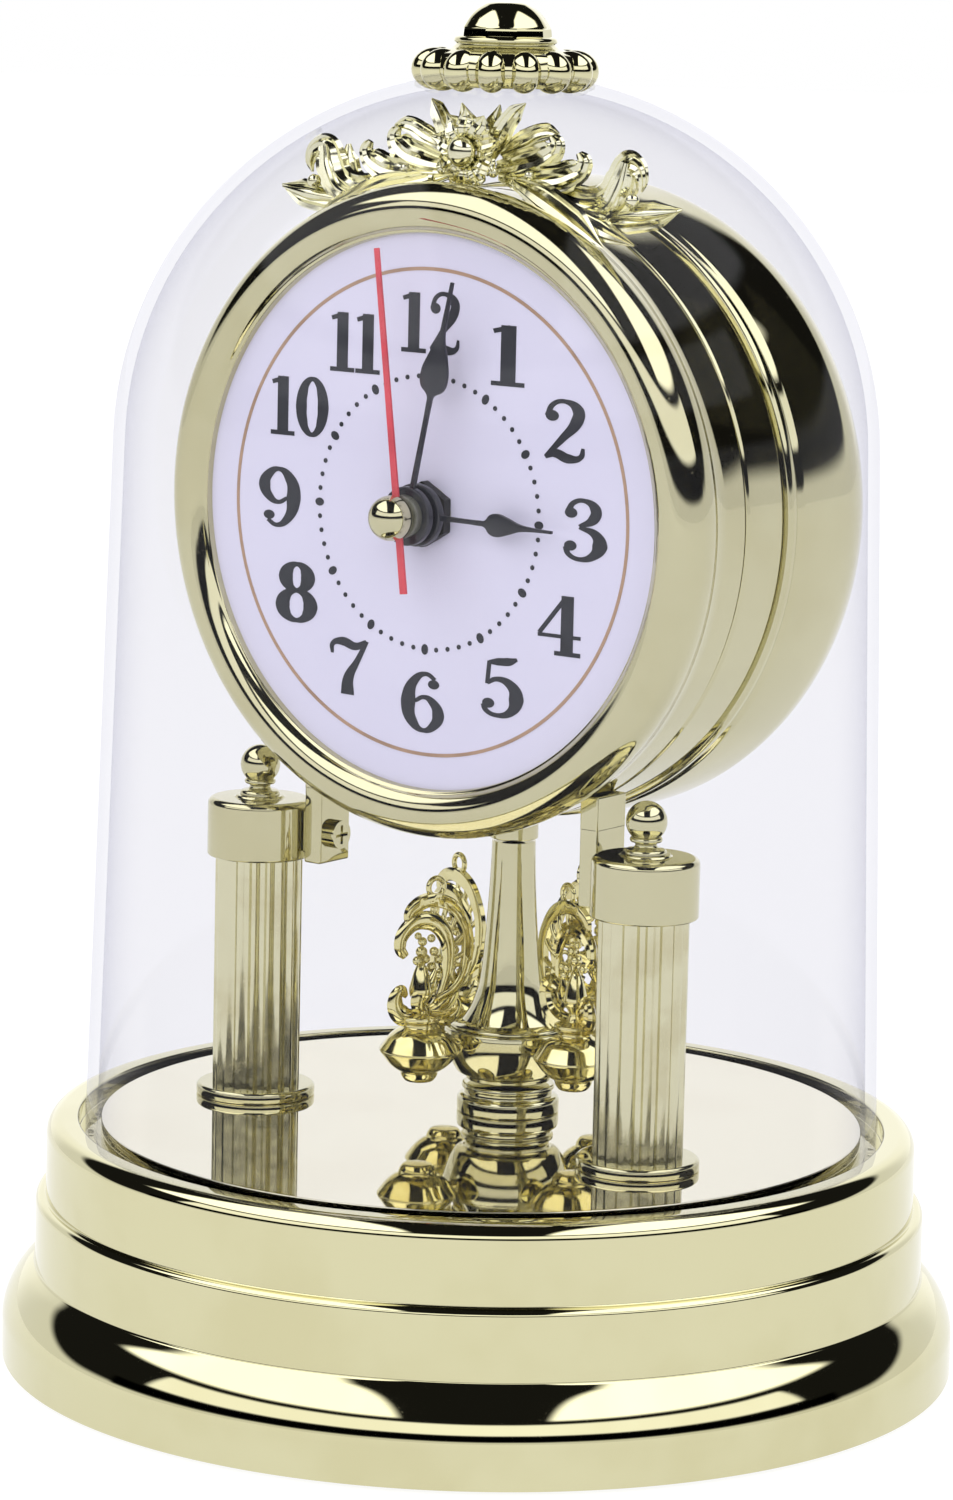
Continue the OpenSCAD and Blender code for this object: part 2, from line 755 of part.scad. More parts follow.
module third_wheel() {
    color(plastic) union() {
        rod_y(third_at, pivot_r, [plate_front[0] + 0.4, plate_back[1] - 0.2]);
        gear(third_at, third_pinion_n, centre_m, bearing(third_at, centre), third_pinion_y);
        gear(third_at, third_wheel_n, third_m, gap_phase(third_at, centre, third_wheel_n), third_wheel_y);
    }
}

module intermediate_wheel() {
    color(plastic) union() {
        rod_y(inter_at, pivot_r, [bridge_y[0], plate_back[1] - 0.2]);
        gear(inter_at, inter_pinion_n, fourth_m, bearing(inter_at, centre), inter_pinion_y);
        gear(inter_at, inter_wheel_n, rotor_m, gap_phase(inter_at, rotor_at, inter_wheel_n), inter_wheel_y);
    }
}

module rotor() {
    color("#4a4a4e") union() {
        rod_y(rotor_at, pivot_r, [bridge_y[0], plate_back[1] - 0.2]);
        gear(rotor_at, rotor_pinion_n, rotor_m, bearing(rotor_at, inter_at), rotor_pinion_y);
        rod_y(rotor_at, 2, magnet_y);
    }
}

module minute_wheel() {
    color(plastic) union() {
        rod_y(minute_at, pivot_r, [plate_front[0] + 0.4, minute_wheel_y[0]]);
        rod_y(minute_at, minute_arbor_r, [minute_wheel_y[0] - 0.1, 8.8]);
        gear(minute_at, minute_pinion_n, hour_m, bearing(minute_at, centre), minute_pinion_y);
        gear(minute_at, minute_wheel_n, motion_m,
             gap_phase(minute_at, centre, minute_wheel_n), minute_wheel_y);
    }
}

module set_knob() {
    color(black) difference() {
        along_y([6, 10]) translate(minute_at) difference() {
            circle(5);
            for (i = [0:23]) rotate(15 * i) translate([5.1, 0]) circle(0.35, $fn = 16);
        }
        rod_y(minute_at, minute_arbor_r + slack, [5, 9]);
    }
}

// ---- hands ------------------------------------------------------------------------------

// Half width of a spade blade at a share t of its length, from its round end to its point
function blade_half(wide, t) = wide * (t < 0.3 ? sin(300 * t) : pow((1 - t) / 0.7, 1.9));

// One side of a spade blade along +Y, from share t0 to t1 of its length
function blade_side(foot, blade, wide, side) =
    [for (i = [1:13]) let (t = (side > 0 ? i : 14 - i) / 14) [side * blade_half(wide, t), foot + blade * t]];

// A thin stem and a spade blade from the arbor, with a round boss at the arbor
module spade(y, angle, length, boss, bore) {
    foot = length * 0.52;
    blade = length - foot;
    wide = length * 0.07;
    stem_w = 0.36;
    stem_foot = boss - 0.3;
    color(black) difference() {
        union() {
            rod_y(centre, boss, y);
            along_y(y) rotate(-angle)
                translate([-stem_w, stem_foot]) square([2 * stem_w, foot + 1 - stem_foot]);
            along_y(y) rotate(-angle) polygon(concat([[0, foot]], blade_side(foot, blade, wide, 1),
                [[0.12, length], [-0.12, length]], blade_side(foot, blade, wide, -1)));
        }
        rod_y(centre, bore, [y[0] - through, y[1] + through]);
    }
}

module hour_hand() {
    spade(hour_hand_y, hour_angle, hour_len, 3.2, hour_r + slack);
}

module minute_hand() {
    spade(minute_hand_y, minute_angle, minute_len, 3, cannon_r + slack);
}

module second_hand() {
    tail = 7.7;
    y = second_hand_y;
    color("#b3222a") difference() {
        union() {
            rod_y(centre, 1.5, y);
            along_y(y) rotate(-second_angle)
                polygon([[-0.35, 1.2], [-0.2, second_len], [0.2, second_len], [0.35, 1.2]]);
            along_y(y) rotate(-second_angle) translate([-0.35, -tail]) square([0.7, tail - 1.2]);
            along_y(y) rotate(-second_angle) translate([0, -tail]) circle(0.7);
        }
        rod_y(centre, second_r + slack, [y[0] - through, y[1] + through]);
    }
}

module second_cap() {
    color(gold) translate([0, 0, case_z]) rotate([-90, 0, 0]) rotate_extrude() polygon(concat(
        [[0, second_hand_y[0]], [1.2, second_hand_y[0]]],
        arc(0, second_cap_y, second_cap_r, 26, -90, 12)));
}

module stem_ferrule() {
    color(gold) difference() {
        translate([0, pendulum_y, stem_top + 0.3]) cylinder(r = stem_r + 0.3, h = 4);
        translate([0, pendulum_y, stem_top - through]) cylinder(r = pin_r + fit, h = 3.4);
        translate([0, 0, case_z]) rotate([90, 0, 0])
            cylinder(r = case_r + 0.52, h = 60, center = true, $fn = 128);
    }
}

// ---- pendulum ---------------------------------------------------------------------------

module pendulum_stem() {
    flare_r = 6;
    flare_h = 10;
    flare_fade = 4.6;
    foot = hub_top;
    color(gold) translate([0, pendulum_y, 0]) union() {
        rotate_extrude() polygon(concat(
            [[0, foot], [flare_r, foot]],
            [for (i = [1:12]) let (t = i / 12)
                [stem_r + (flare_r - stem_r) * pow(1 - t, flare_fade), foot + flare_h * t]],
            [[stem_r, stem_top], [0, stem_top]]));
        translate([0, 0, stem_top - 0.1]) cylinder(r = pin_r, h = 1.9);
    }
}

module pendulum_hub() {
    color(gold) translate([0, pendulum_y, 0]) difference() {
        union() {
            rotate_extrude() polygon(concat(
                [[0, hub_z], [4.8, hub_z]],
                oval(4.8, hub_z + 4.9, 2.1, 4.9, -80, 0, 8),
                [[hub_r, hub_top - 0.3], [hub_r - 0.3, hub_top], [0, hub_top]]));
            translate([0, 0, plate_z + 0.9]) cylinder(r = pin_r, h = hub_z - plate_z);
        }
        translate([0, 0, hub_z + 1]) cylinder(r = 4.4, h = 8);
        for (turn = [0:90:270])
            rotate(ornament_angle + turn) translate([spigot_x - through, 0, spigot_z]) rotate([0, 90, 0])
                cylinder(r = spigot_r + slack, h = 4);
    }
}

module pendulum_magnet() {
    color("#4a4a4e") translate([0, pendulum_y, hub_z + 1]) cylinder(r = 4.3, h = 2.4);
}

// One ornament, drawn along +X from the pendulum's axis
module ornament(turn) {
    color(gold) translate([0, pendulum_y, 0]) rotate(ornament_angle + turn) {
        translate([ornament_r, 0, 0]) rotate_extrude($fn = 48) polygon([
            [0, 30.3], [0.7, 30.6], [1.6, 31.2], [2, 31.7], [3.2, 32.5], [3.9, 33.6], [3.3, 34.7],
            [1.9, 35.4], [1.5, 35.8], [2.1, 36.3], [1.8, 36.8], [1.1, 37.1], [1.4, 38.2], [1, 40],
            [0.4, 42.2], [0, 43]]);
        translate([spigot_x, 0, spigot_z]) rotate([0, 90, 0]) cylinder(r = spigot_r, h = 3);
        translate([hub_r + 0.1, 0, spigot_z]) rotate([0, 90, 0])
            cylinder(r = 0.8, h = ornament_r - hub_r - 2.5);
        rotate([90, 0, 0]) translate([0, 0, -1]) linear_extrude(2) polygon(concat(
            [[7.4, 34.2]], arc(11.2, 43, 5.2, 200, 20, 14), arc(11.2, 43, 4.2, 20, 205, 14), [[8, 33.8]]));
        translate([7.6, -0.9, 32.6]) cube([1.4, 1.8, 3.4]);
        translate([9.8, 0, 49.3]) rotate([90, 0, 0]) translate([0, 0, -0.5]) linear_extrude(1)
            difference() { circle(1.5); circle(0.7); }
    }
}

module ornament_front() { ornament(-90); }
module ornament_right() { ornament(0); }
module ornament_back() { ornament(90); }
module ornament_left() { ornament(180); }

// ---- dome -------------------------------------------------------------------------------

module dome() {
    inner_r = dome_shoulder_r - dome_wall;
    color("#dfe0ea", 0.3) difference() {
        rotate_extrude($fn = 128) polygon(concat(
            [[dome_foot_r - dome_wall, groove_z], [dome_foot_r, groove_z]],
            oval(0, dome_shoulder_z, dome_shoulder_r, dome_crown_h, 0, 90, 20),
            oval(0, dome_shoulder_z, inner_r, dome_crown_h - dome_wall, 90, 0, 20)));
        translate([0, 0, dome_shoulder_z]) cylinder(r = 1.6, h = 60);
    }
}

finial_z = dome_shoulder_z + dome_crown_h;
finial_lobes = 14;
lobe_at = 7.5;
lobe_r = 2;

module dome_finial() {
    color(gold) difference() {
        union() {
            translate([0, 0, finial_z]) rotate_extrude() polygon(concat(
                [[0, -1.2], [7.8, -1.2], [8, 1.6], [6.6, 2.4], [4.7, 2.6], [4.7, 4.2]],
                oval(0, 3.4, 4.7, 3.7, 16, 90, 8)));
            for (i = [0:finial_lobes - 1])
                rotate(360 * i / finial_lobes) translate([lobe_at, 0, finial_z - 1])
                    cylinder(r = lobe_r, h = 3.1, $fn = 32);
        }
        rotate_extrude($fn = 128) polygon(concat([[0, 60]],
            oval(0, dome_shoulder_z, dome_shoulder_r + 0.05, dome_crown_h + 0.05, 0, 90, 20)));
    }
    color(gold) translate([0, 0, finial_z - 2.6]) cylinder(r = 1.5, h = 4);
}

base_shell();
base_cover();
cover_screws();
foot_pads();
mirror_plate();
mirror([1, 0, 0]) column();  // column_left
column();  // column_right
mirror([1, 0, 0]) column_ring();  // column_ring_left
column_ring();  // column_ring_right
mirror([1, 0, 0]) cap();  // cap_left
cap();  // cap_right
mirror([1, 0, 0]) cap_ball();  // cap_ball_left
cap_ball();  // cap_ball_right
mirror([1, 0, 0]) strap();  // strap_left
strap();  // strap_right
strap_screws();
tie_rods();
pendulum_socket();
pendulum_cell();
cell_contacts();
drive_board();
drive_coil();
switch_slider();
battery_door();
bezel();
case_band();
case_back();
crest();
dial();
movement_front();
movement_back();
centre_nut();
stator();
motor_coil();
movement_board();
train_bridge();
movement_cell();
movement_contacts();
stem_ferrule();
hour_wheel();
hour_hand();
centre_wheel();
minute_hand();
second_arbor();
second_hand();
second_cap();
third_wheel();
intermediate_wheel();
rotor();
minute_wheel();
set_knob();
pendulum_stem();
pendulum_hub();
pendulum_magnet();
ornament_front();
ornament_right();
ornament_back();
ornament_left();
dome();
dome_finial();
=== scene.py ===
import math

import bmesh
import bpy
from mathutils import Matrix, Vector


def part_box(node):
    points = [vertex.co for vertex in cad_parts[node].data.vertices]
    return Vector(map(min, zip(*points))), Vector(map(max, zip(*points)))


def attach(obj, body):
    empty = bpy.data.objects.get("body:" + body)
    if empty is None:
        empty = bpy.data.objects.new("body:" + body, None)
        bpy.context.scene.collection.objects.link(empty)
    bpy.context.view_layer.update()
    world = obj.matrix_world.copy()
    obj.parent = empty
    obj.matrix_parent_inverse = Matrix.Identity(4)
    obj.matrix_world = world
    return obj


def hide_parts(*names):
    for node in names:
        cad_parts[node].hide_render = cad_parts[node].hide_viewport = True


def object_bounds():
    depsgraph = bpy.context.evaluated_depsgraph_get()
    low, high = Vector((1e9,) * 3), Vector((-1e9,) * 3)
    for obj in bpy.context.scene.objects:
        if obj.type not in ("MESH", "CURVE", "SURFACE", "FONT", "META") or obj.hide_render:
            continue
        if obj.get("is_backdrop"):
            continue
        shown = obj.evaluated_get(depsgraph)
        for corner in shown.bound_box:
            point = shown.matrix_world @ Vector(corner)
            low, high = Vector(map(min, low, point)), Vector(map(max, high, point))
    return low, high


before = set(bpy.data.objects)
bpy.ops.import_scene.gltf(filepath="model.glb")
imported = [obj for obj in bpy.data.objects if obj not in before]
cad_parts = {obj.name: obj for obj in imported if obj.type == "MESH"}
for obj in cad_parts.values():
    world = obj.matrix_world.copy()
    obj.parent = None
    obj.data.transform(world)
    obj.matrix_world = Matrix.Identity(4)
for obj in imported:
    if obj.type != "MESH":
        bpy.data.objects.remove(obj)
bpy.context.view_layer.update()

MM = 0.001
FULL_TURN = 2 * math.pi


# ---- shaping tools ----


def outline(bm, corners, closed=False):
    """A line of corners (r, z) or (r, z, round) in the XZ plane, with its corners rounded."""
    verts = [bm.verts.new((c[0], 0, c[1])) for c in corners]
    ends = verts[1:] + verts[:1] if closed else verts[1:]
    for a, b in zip(verts, ends):
        bm.edges.new((a, b))
    for vert, c in zip(verts, corners):
        if len(c) > 2:
            steps = max(3, min(28, int(6 * math.sqrt(c[2]))))
            bmesh.ops.bevel(bm, geom=[vert], offset=c[2], offset_type="OFFSET", segments=steps,
                            profile=0.5, affect="VERTICES", material=-1, clamp_overlap=True)


def turned(corners, steps=128, closed=True, bm=None):
    """A profile spun round the Z axis. A profile that starts and ends on the axis is a solid."""
    made = bmesh.new()
    outline(made, corners, closed)
    bmesh.ops.spin(made, geom=made.verts[:] + made.edges[:], cent=(0, 0, 0), axis=(0, 0, 1),
                   angle=FULL_TURN, steps=steps, use_merge=True)
    bmesh.ops.remove_doubles(made, verts=made.verts, dist=0.0005)
    bmesh.ops.dissolve_degenerate(made, edges=made.edges, dist=0.0002)
    if bm is None:
        return made
    return join(bm, made)


def join(bm, part, matrix=None):
    """Adds one bmesh to another, moved by a matrix."""
    mesh = bpy.data.meshes.new("part")
    part.to_mesh(mesh)
    part.free()
    if matrix is not None:
        mesh.transform(matrix)
    bm.from_mesh(mesh)
    bpy.data.meshes.remove(mesh)
    return bm


def shift(x=0, y=0, z=0):
    return Matrix.Translation((x, y, z))


def turn(degrees, axis="Z"):
    return Matrix.Rotation(math.radians(degrees), 4, axis)


def section(corners, name):
    """A closed cross-section for strands, drawn about its own middle."""
    curve = bpy.data.curves.new(name, "CURVE")
    spline = curve.splines.new("POLY")
    spline.points.add(len(corners) - 1)
    for point, (x, y) in zip(spline.points, corners):
        point.co = (x, y, 0, 1)
    spline.use_cyclic_u = True
    made = bpy.data.objects.new(name, curve)
    bpy.context.scene.collection.objects.link(made)
    return made


def strand(bm, path, cut=None, fine=8, matrix=None, sides=3, loop=False):
    """A tapering rod or leaf through points (x, y, z, size), laid flat in the XY plane."""
    curve = bpy.data.curves.new("strand", "CURVE")
    curve.dimensions = "3D"
    curve.twist_mode = "Z_UP"
    curve.resolution_u = fine
    curve.use_fill_caps = not loop
    if cut is None:
        curve.bevel_depth = 1
        curve.bevel_resolution = sides
    else:
        curve.bevel_mode = "OBJECT"
        curve.bevel_object = cut
    spline = curve.splines.new("BEZIER")
    spline.bezier_points.add(len(path) - 1)
    for point, p in zip(spline.bezier_points, path):
        point.co = p[:3]
        point.radius = p[3]
        point.handle_left_type = point.handle_right_type = "AUTO"
    spline.use_cyclic_u = loop
    made = bpy.data.objects.new("strand", curve)
    bpy.context.scene.collection.objects.link(made)
    bpy.context.view_layer.update()
    depsgraph = bpy.context.evaluated_depsgraph_get()
    mesh = bpy.data.meshes.new_from_object(made.evaluated_get(depsgraph))
    if matrix is not None:
        mesh.transform(matrix)
    bm.from_mesh(mesh)
    bpy.data.objects.remove(made)
    bpy.data.curves.remove(curve)
    bpy.data.meshes.remove(mesh)
    return bm


def ball(bm, at, size, squash=(1, 1, 1), detail=16):
    """A round bead, squashed along its axes."""
    place = shift(*at) @ Matrix.Diagonal((*[size * s for s in squash], 1))
    bmesh.ops.create_uvsphere(bm, u_segments=detail * 2, v_segments=detail, radius=1, matrix=place)
    return bm


def block(bm, low, high, edge=0.0, steps=3):
    """A box between two corners with softened edges."""
    size = [b - a for a, b in zip(low, high)]
    middle = [(a + b) / 2 for a, b in zip(low, high)]
    made = bmesh.new()
    bmesh.ops.create_cube(made, size=1, matrix=shift(*middle) @ Matrix.Diagonal((*size, 1)))
    if edge:
        bmesh.ops.bevel(made, geom=made.edges[:], offset=edge, offset_type="OFFSET",
                        segments=steps, profile=0.5, affect="EDGES", material=-1)
    return join(bm, made)


def place(name, bm, material, body, nodes=(), slot=None, matrix=None, sharp=35):
    """Makes the finished piece: faces outwards, soft shading with crisp edges, on its body."""
    if matrix is not None:
        bmesh.ops.transform(bm, matrix=matrix, verts=bm.verts)
    bmesh.ops.remove_doubles(bm, verts=bm.verts, dist=0.0005)
    bmesh.ops.recalc_face_normals(bm, faces=bm.faces)
    bmesh.ops.scale(bm, vec=(MM, MM, MM), verts=bm.verts)
    limit = math.radians(sharp)
    for face in bm.faces:
        face.smooth = True
    for edge in bm.edges:
        edge.smooth = not (edge.is_manifold and edge.calc_face_angle() > limit)
    mesh = bpy.data.meshes.new(name)
    bm.to_mesh(mesh)
    bm.free()
    mesh.materials.append(material)
    piece = bpy.data.objects.new(name, mesh)
    bpy.context.scene.collection.objects.link(piece)
    # shading follows the broad faces, so flats next to a rounded edge stay flat
    level = piece.modifiers.new("flat_faces_stay_flat", "WEIGHTED_NORMAL")
    level.keep_sharp = True
    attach(piece, body)
    if nodes:
        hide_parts(*nodes)
    return piece


# ---- finishes ----


def feed(tree, socket, value):
    """Links a node's output to a socket, or sets the socket to a plain value."""
    if isinstance(value, bpy.types.NodeSocket):
        tree.links.new(value, socket)
    else:
        socket.default_value = value


def sums(tree, operation, a, b=0.0, c=0.0):
    """One step of shader arithmetic."""
    made = tree.nodes.new("ShaderNodeMath")
    made.operation = operation
    for socket, value in zip(made.inputs, (a, b, c)):
        feed(tree, socket, value)
    return made.outputs[0]


def ramp(tree, value, low, high, to_low=0.0, to_high=1.0):
    """A smooth step from one value to another."""
    made = tree.nodes.new("ShaderNodeMapRange")
    made.interpolation_type = "SMOOTHSTEP"
    for key, v in zip(("Value", "From Min", "From Max", "To Min", "To Max"),
                      (value, low, high, to_low, to_high)):
        feed(tree, made.inputs[key], v)
    return made.outputs[0]


def mixed(tree, share, a, b):
    """One colour laid over another by a mask."""
    made = tree.nodes.new("ShaderNodeMix")
    made.data_type = "RGBA"
    feed(tree, made.inputs[0], share)
    feed(tree, made.inputs[6], a)
    feed(tree, made.inputs[7], b)
    return made.outputs[2]


def noise(tree, vector, scale, detail=2.0, rough=0.5):
    made = tree.nodes.new("ShaderNodeTexNoise")
    feed(tree, made.inputs["Vector"], vector)
    made.inputs["Scale"].default_value = scale
    made.inputs["Detail"].default_value = detail
    made.inputs["Roughness"].default_value = rough
    return made.outputs[0]


def group(name, takes, gives):
    """An empty node group with named number or colour sockets."""
    tree = bpy.data.node_groups.new(name, "ShaderNodeTree")
    for socket, kind, value in takes:
        made = tree.interface.new_socket(name=socket, in_out="INPUT", socket_type="NodeSocket" + kind)
        if value is not None:
            made.default_value = value
    for socket, kind in gives:
        tree.interface.new_socket(name=socket, in_out="OUTPUT", socket_type="NodeSocket" + kind)
    return tree, tree.nodes.new("NodeGroupInput").outputs, tree.nodes.new("NodeGroupOutput").inputs


def coordinates(tree):
    """The object's own coordinates, in metres."""
    return tree.nodes.new("ShaderNodeTexCoord").outputs["Object"]


def at_scale(tree, factor):
    """Object coordinates multiplied by a factor."""
    made = tree.nodes.new("ShaderNodeVectorMath")
    made.operation = "SCALE"
    feed(tree, made.inputs[0], coordinates(tree))
    feed(tree, made.inputs["Scale"], factor)
    return made.outputs[0]


def handling_marks():
    """Broad smears and fine specks that change gloss, and a slow ripple in the surface."""
    tree, takes, gives = group(
        "handling_marks",
        [("Base", "Float", 0.05), ("Smear", "Float", 0.03), ("Speck", "Float", 0.1),
         ("Scale", "Float", 1.0)],
        [("Roughness", "Float"), ("Ripple", "Float"), ("Mask", "Float")])
    where = at_scale(tree, takes["Scale"])
    broad, fine = noise(tree, where, 60, 3), noise(tree, where, 2400, 1)
    smear, speck = ramp(tree, broad, 0.45, 0.7), ramp(tree, fine, 0.7, 0.76)
    dulled = sums(tree, "MULTIPLY_ADD", smear, takes["Smear"],
                  sums(tree, "MULTIPLY", speck, takes["Speck"]))
    feed(tree, gives["Mask"], smear)
    feed(tree, gives["Roughness"], sums(tree, "ADD", takes["Base"], dulled))
    feed(tree, gives["Ripple"], noise(tree, where, 130, 1))
    return tree


def moulded_skin():
    """Fine grain and slight unevenness of colour."""
    tree, takes, gives = group(
        "moulded_skin",
        [("Color", "Color", None), ("Shade", "Float", 0.85), ("Scale", "Float", 1.0)],
        [("Color", "Color"), ("Height", "Float"), ("Roughness", "Float")])
    where = at_scale(tree, takes["Scale"])
    cloud = noise(tree, where, 90, 4)
    dark = tree.nodes.new("ShaderNodeHueSaturation")
    feed(tree, dark.inputs["Color"], takes["Color"])
    feed(tree, dark.inputs["Value"], takes["Shade"])
    feed(tree, gives["Color"],
         mixed(tree, ramp(tree, cloud, 0.4, 0.7), takes["Color"], dark.outputs[0]))
    feed(tree, gives["Height"], noise(tree, where, 5000, 2))
    feed(tree, gives["Roughness"], ramp(tree, cloud, 0.3, 0.7, 0.42, 0.6))
    return tree


marks, grain = handling_marks(), moulded_skin()


def use(tree, shared, **inputs):
    """The outputs of a shared group with its inputs set."""
    made = tree.nodes.new("ShaderNodeGroup")
    made.node_tree = shared
    for key, value in inputs.items():
        feed(tree, made.inputs[key], value)
    return made.outputs


def finish_material(name):
    """A new material with its tree and its surface shader."""
    material = bpy.data.materials.new(name)
    material.use_nodes = True
    tree = material.node_tree
    return material, tree, tree.nodes["Principled BSDF"]


def bump(tree, bsdf, height, strength, distance):
    """Relief on a surface, from a height and the depth it stands for in metres."""
    made = tree.nodes.new("ShaderNodeBump")
    made.inputs["Strength"].default_value = strength
    made.inputs["Distance"].default_value = distance
    feed(tree, made.inputs["Height"], height)
    feed(tree, bsdf.inputs["Normal"], made.outputs[0])


def plating(name, color, deep, base, smear, ripple, speck=0.12, scale=1.0):
    """Bright metal plating over moulded plastic."""
    material, tree, bsdf = finish_material(name)
    out = use(tree, marks, Base=base, Smear=smear, Speck=speck, Scale=scale)
    tint = mixed(tree, out["Mask"], (*color, 1), (*deep, 1))
    feed(tree, bsdf.inputs["Base Color"], tint)
    feed(tree, bsdf.inputs["Roughness"], out["Roughness"])
    bsdf.inputs["Metallic"].default_value = 1.0
    bump(tree, bsdf, out["Ripple"], 0.6, ripple)
    return material


def moulded(name, color, shade=0.85, scale=1.0, height=0.00002):
    """Moulded plastic or rubber."""
    material, tree, bsdf = finish_material(name)
    out = use(tree, grain, Color=(*color, 1), Shade=shade, Scale=scale)
    feed(tree, bsdf.inputs["Base Color"], out["Color"])
    feed(tree, bsdf.inputs["Roughness"], out["Roughness"])
    bump(tree, bsdf, out["Height"], 0.5, height)
    return material


GOLD = (0.635, 0.605, 0.385)
GOLD_DEEP = (0.60, 0.565, 0.345)
gold = plating("bright_gold_plate", GOLD, GOLD_DEEP, 0.035, 0.015, 0.00004)
gold_base = plating("base_gold_plate", GOLD, GOLD_DEEP, 0.03, 0.01, 0.00002, 0.05)
gold_cast = plating("cast_gold_plate", (0.76, 0.70, 0.37), (0.66, 0.58, 0.25), 0.06, 0.05, 0.00006,
                    scale=3.0)
gold_crest = plating("crest_gold_plate", (0.86, 0.84, 0.60), (0.78, 0.74, 0.46), 0.10, 0.06, 0.00006,
                     scale=3.0)
gold_shaft = plating("shaft_gold_plate", (0.72, 0.69, 0.47), (0.66, 0.62, 0.40), 0.14, 0.08, 0.00005,
                     scale=3.0)
gold_mirror = plating("polished_deck_plate", (0.80, 0.765, 0.60), (0.78, 0.74, 0.575), 0.03, 0.015,
                      0.00001, 0.04)
steel = plating("plain_steel", (0.55, 0.56, 0.58), (0.42, 0.43, 0.45), 0.22, 0.12, 0.00003, scale=3.0)
black_plastic = moulded("black_moulding", (0.012, 0.011, 0.01), 0.5)
white_plastic = moulded("ivory_moulding", (0.70, 0.68, 0.61), 0.9)
rubber = moulded("black_rubber", (0.02, 0.019, 0.018), 0.6, height=0.00005)
magnet = moulded("grey_ferrite", (0.09, 0.088, 0.09), 0.7, 2.0)


def hand_paint(name, color, roughness, coat):
    """Smooth paint on a stamped hand, with a trace of orange peel."""
    material, tree, bsdf = finish_material(name)
    out = use(tree, marks, Base=roughness, Smear=0.1, Speck=0.15, Scale=4.0)
    deep = tuple(c * 0.8 for c in color)
    feed(tree, bsdf.inputs["Base Color"], mixed(tree, out["Mask"], (*color, 1), (*deep, 1)))
    feed(tree, bsdf.inputs["Roughness"], out["Roughness"])
    bsdf.inputs["Coat Weight"].default_value = coat
    bump(tree, bsdf, out["Ripple"], 0.3, 0.00002)
    return material


hand_black = hand_paint("black_hand_paint", (0.018, 0.019, 0.026), 0.3, 0.3)
hand_red = hand_paint("red_hand_paint", (0.72, 0.075, 0.10), 0.35, 0.2)
tube_grey = hand_paint("olive_grey_pipe", (0.13, 0.13, 0.105), 0.25, 0.4)
print_ink = hand_paint("charcoal_print", (0.030, 0.032, 0.040), 0.5, 0.0)
print_bronze = hand_paint("bronze_print", (0.46, 0.30, 0.20), 0.4, 0.0)


def card_material():
    """Lavender-white satin dial card with a faint paper tooth."""
    material, tree, bsdf = finish_material("lavender_dial_card")
    where = coordinates(tree)
    mottle = noise(tree, where, 45, 3)
    tooth = noise(tree, where, 6000, 2)
    tint = mixed(tree, ramp(tree, mottle, 0.35, 0.7), (0.735, 0.715, 0.87, 1), (0.755, 0.735, 0.885, 1))
    feed(tree, bsdf.inputs["Base Color"], tint)
    feed(tree, bsdf.inputs["Roughness"], ramp(tree, mottle, 0.3, 0.7, 0.32, 0.42))
    bump(tree, bsdf, tooth, 0.2, 0.000008)
    return material


dial_card = card_material()


def winding_material():
    """Enamelled copper wire wound in close turns, banded with painted shade in the grooves between turns.
    """
    material, tree, bsdf = finish_material("copper_winding")
    waves = tree.nodes.new("ShaderNodeTexWave")
    waves.bands_direction = "Z"
    waves.inputs["Scale"].default_value = 900
    waves.inputs["Distortion"].default_value = 0.6
    feed(tree, waves.inputs["Vector"], coordinates(tree))
    # painted shade: the colour darkens from each turn's crown into the groove beside it, where shade
    # falls
    feed(tree, bsdf.inputs["Base Color"],
         mixed(tree, waves.outputs["Fac"], (0.25, 0.06, 0.02, 1), (0.70, 0.27, 0.11, 1)))
    feed(tree, bsdf.inputs["Roughness"], ramp(tree, waves.outputs["Fac"], 0.0, 1.0, 0.5, 0.28))
    bsdf.inputs["Metallic"].default_value = 0.8
    bump(tree, bsdf, waves.outputs["Fac"], 0.8, 0.0001)
    return material


copper = winding_material()


def board_material():
    """Green lacquered board with darker copper tracks."""
    material, tree, bsdf = finish_material("green_board")
    cells = tree.nodes.new("ShaderNodeTexVoronoi")
    cells.feature = "DISTANCE_TO_EDGE"
    cells.inputs["Scale"].default_value = 420
    feed(tree, cells.inputs["Vector"], coordinates(tree))
    track = ramp(tree, cells.outputs["Distance"], 0.03, 0.07)
    feed(tree, bsdf.inputs["Base Color"],
         mixed(tree, track, (0.06, 0.20, 0.06, 1), (0.02, 0.09, 0.03, 1)))
    feed(tree, bsdf.inputs["Roughness"], ramp(tree, track, 0, 1, 0.25, 0.4))
    bump(tree, bsdf, track, 0.6, 0.00005)
    return material


board = board_material()


def jacket_material():
    """A cell's printed foil jacket: green with a brass-coloured end band."""
    material, tree, bsdf = finish_material("cell_foil_jacket")
    axes = tree.nodes.new("ShaderNodeSeparateXYZ")
    feed(tree, axes.inputs[0], coordinates(tree))
    band = ramp(tree, axes.outputs[0], 0.0105, 0.0108)
    wear = noise(tree, coordinates(tree), 300, 3)
    body_tint = mixed(tree, ramp(tree, wear, 0.4, 0.7), (0.015, 0.12, 0.07, 1), (0.02, 0.15, 0.09, 1))
    feed(tree, bsdf.inputs["Base Color"], mixed(tree, band, body_tint, (0.62, 0.42, 0.18, 1)))
    feed(tree, bsdf.inputs["Metallic"], ramp(tree, axes.outputs[0], 0.0105, 0.0108, 0.2, 0.9))
    feed(tree, bsdf.inputs["Roughness"], ramp(tree, wear, 0.3, 0.7, 0.22, 0.36))
    return material


jacket = jacket_material()


DOME_GLOSS = 0.4


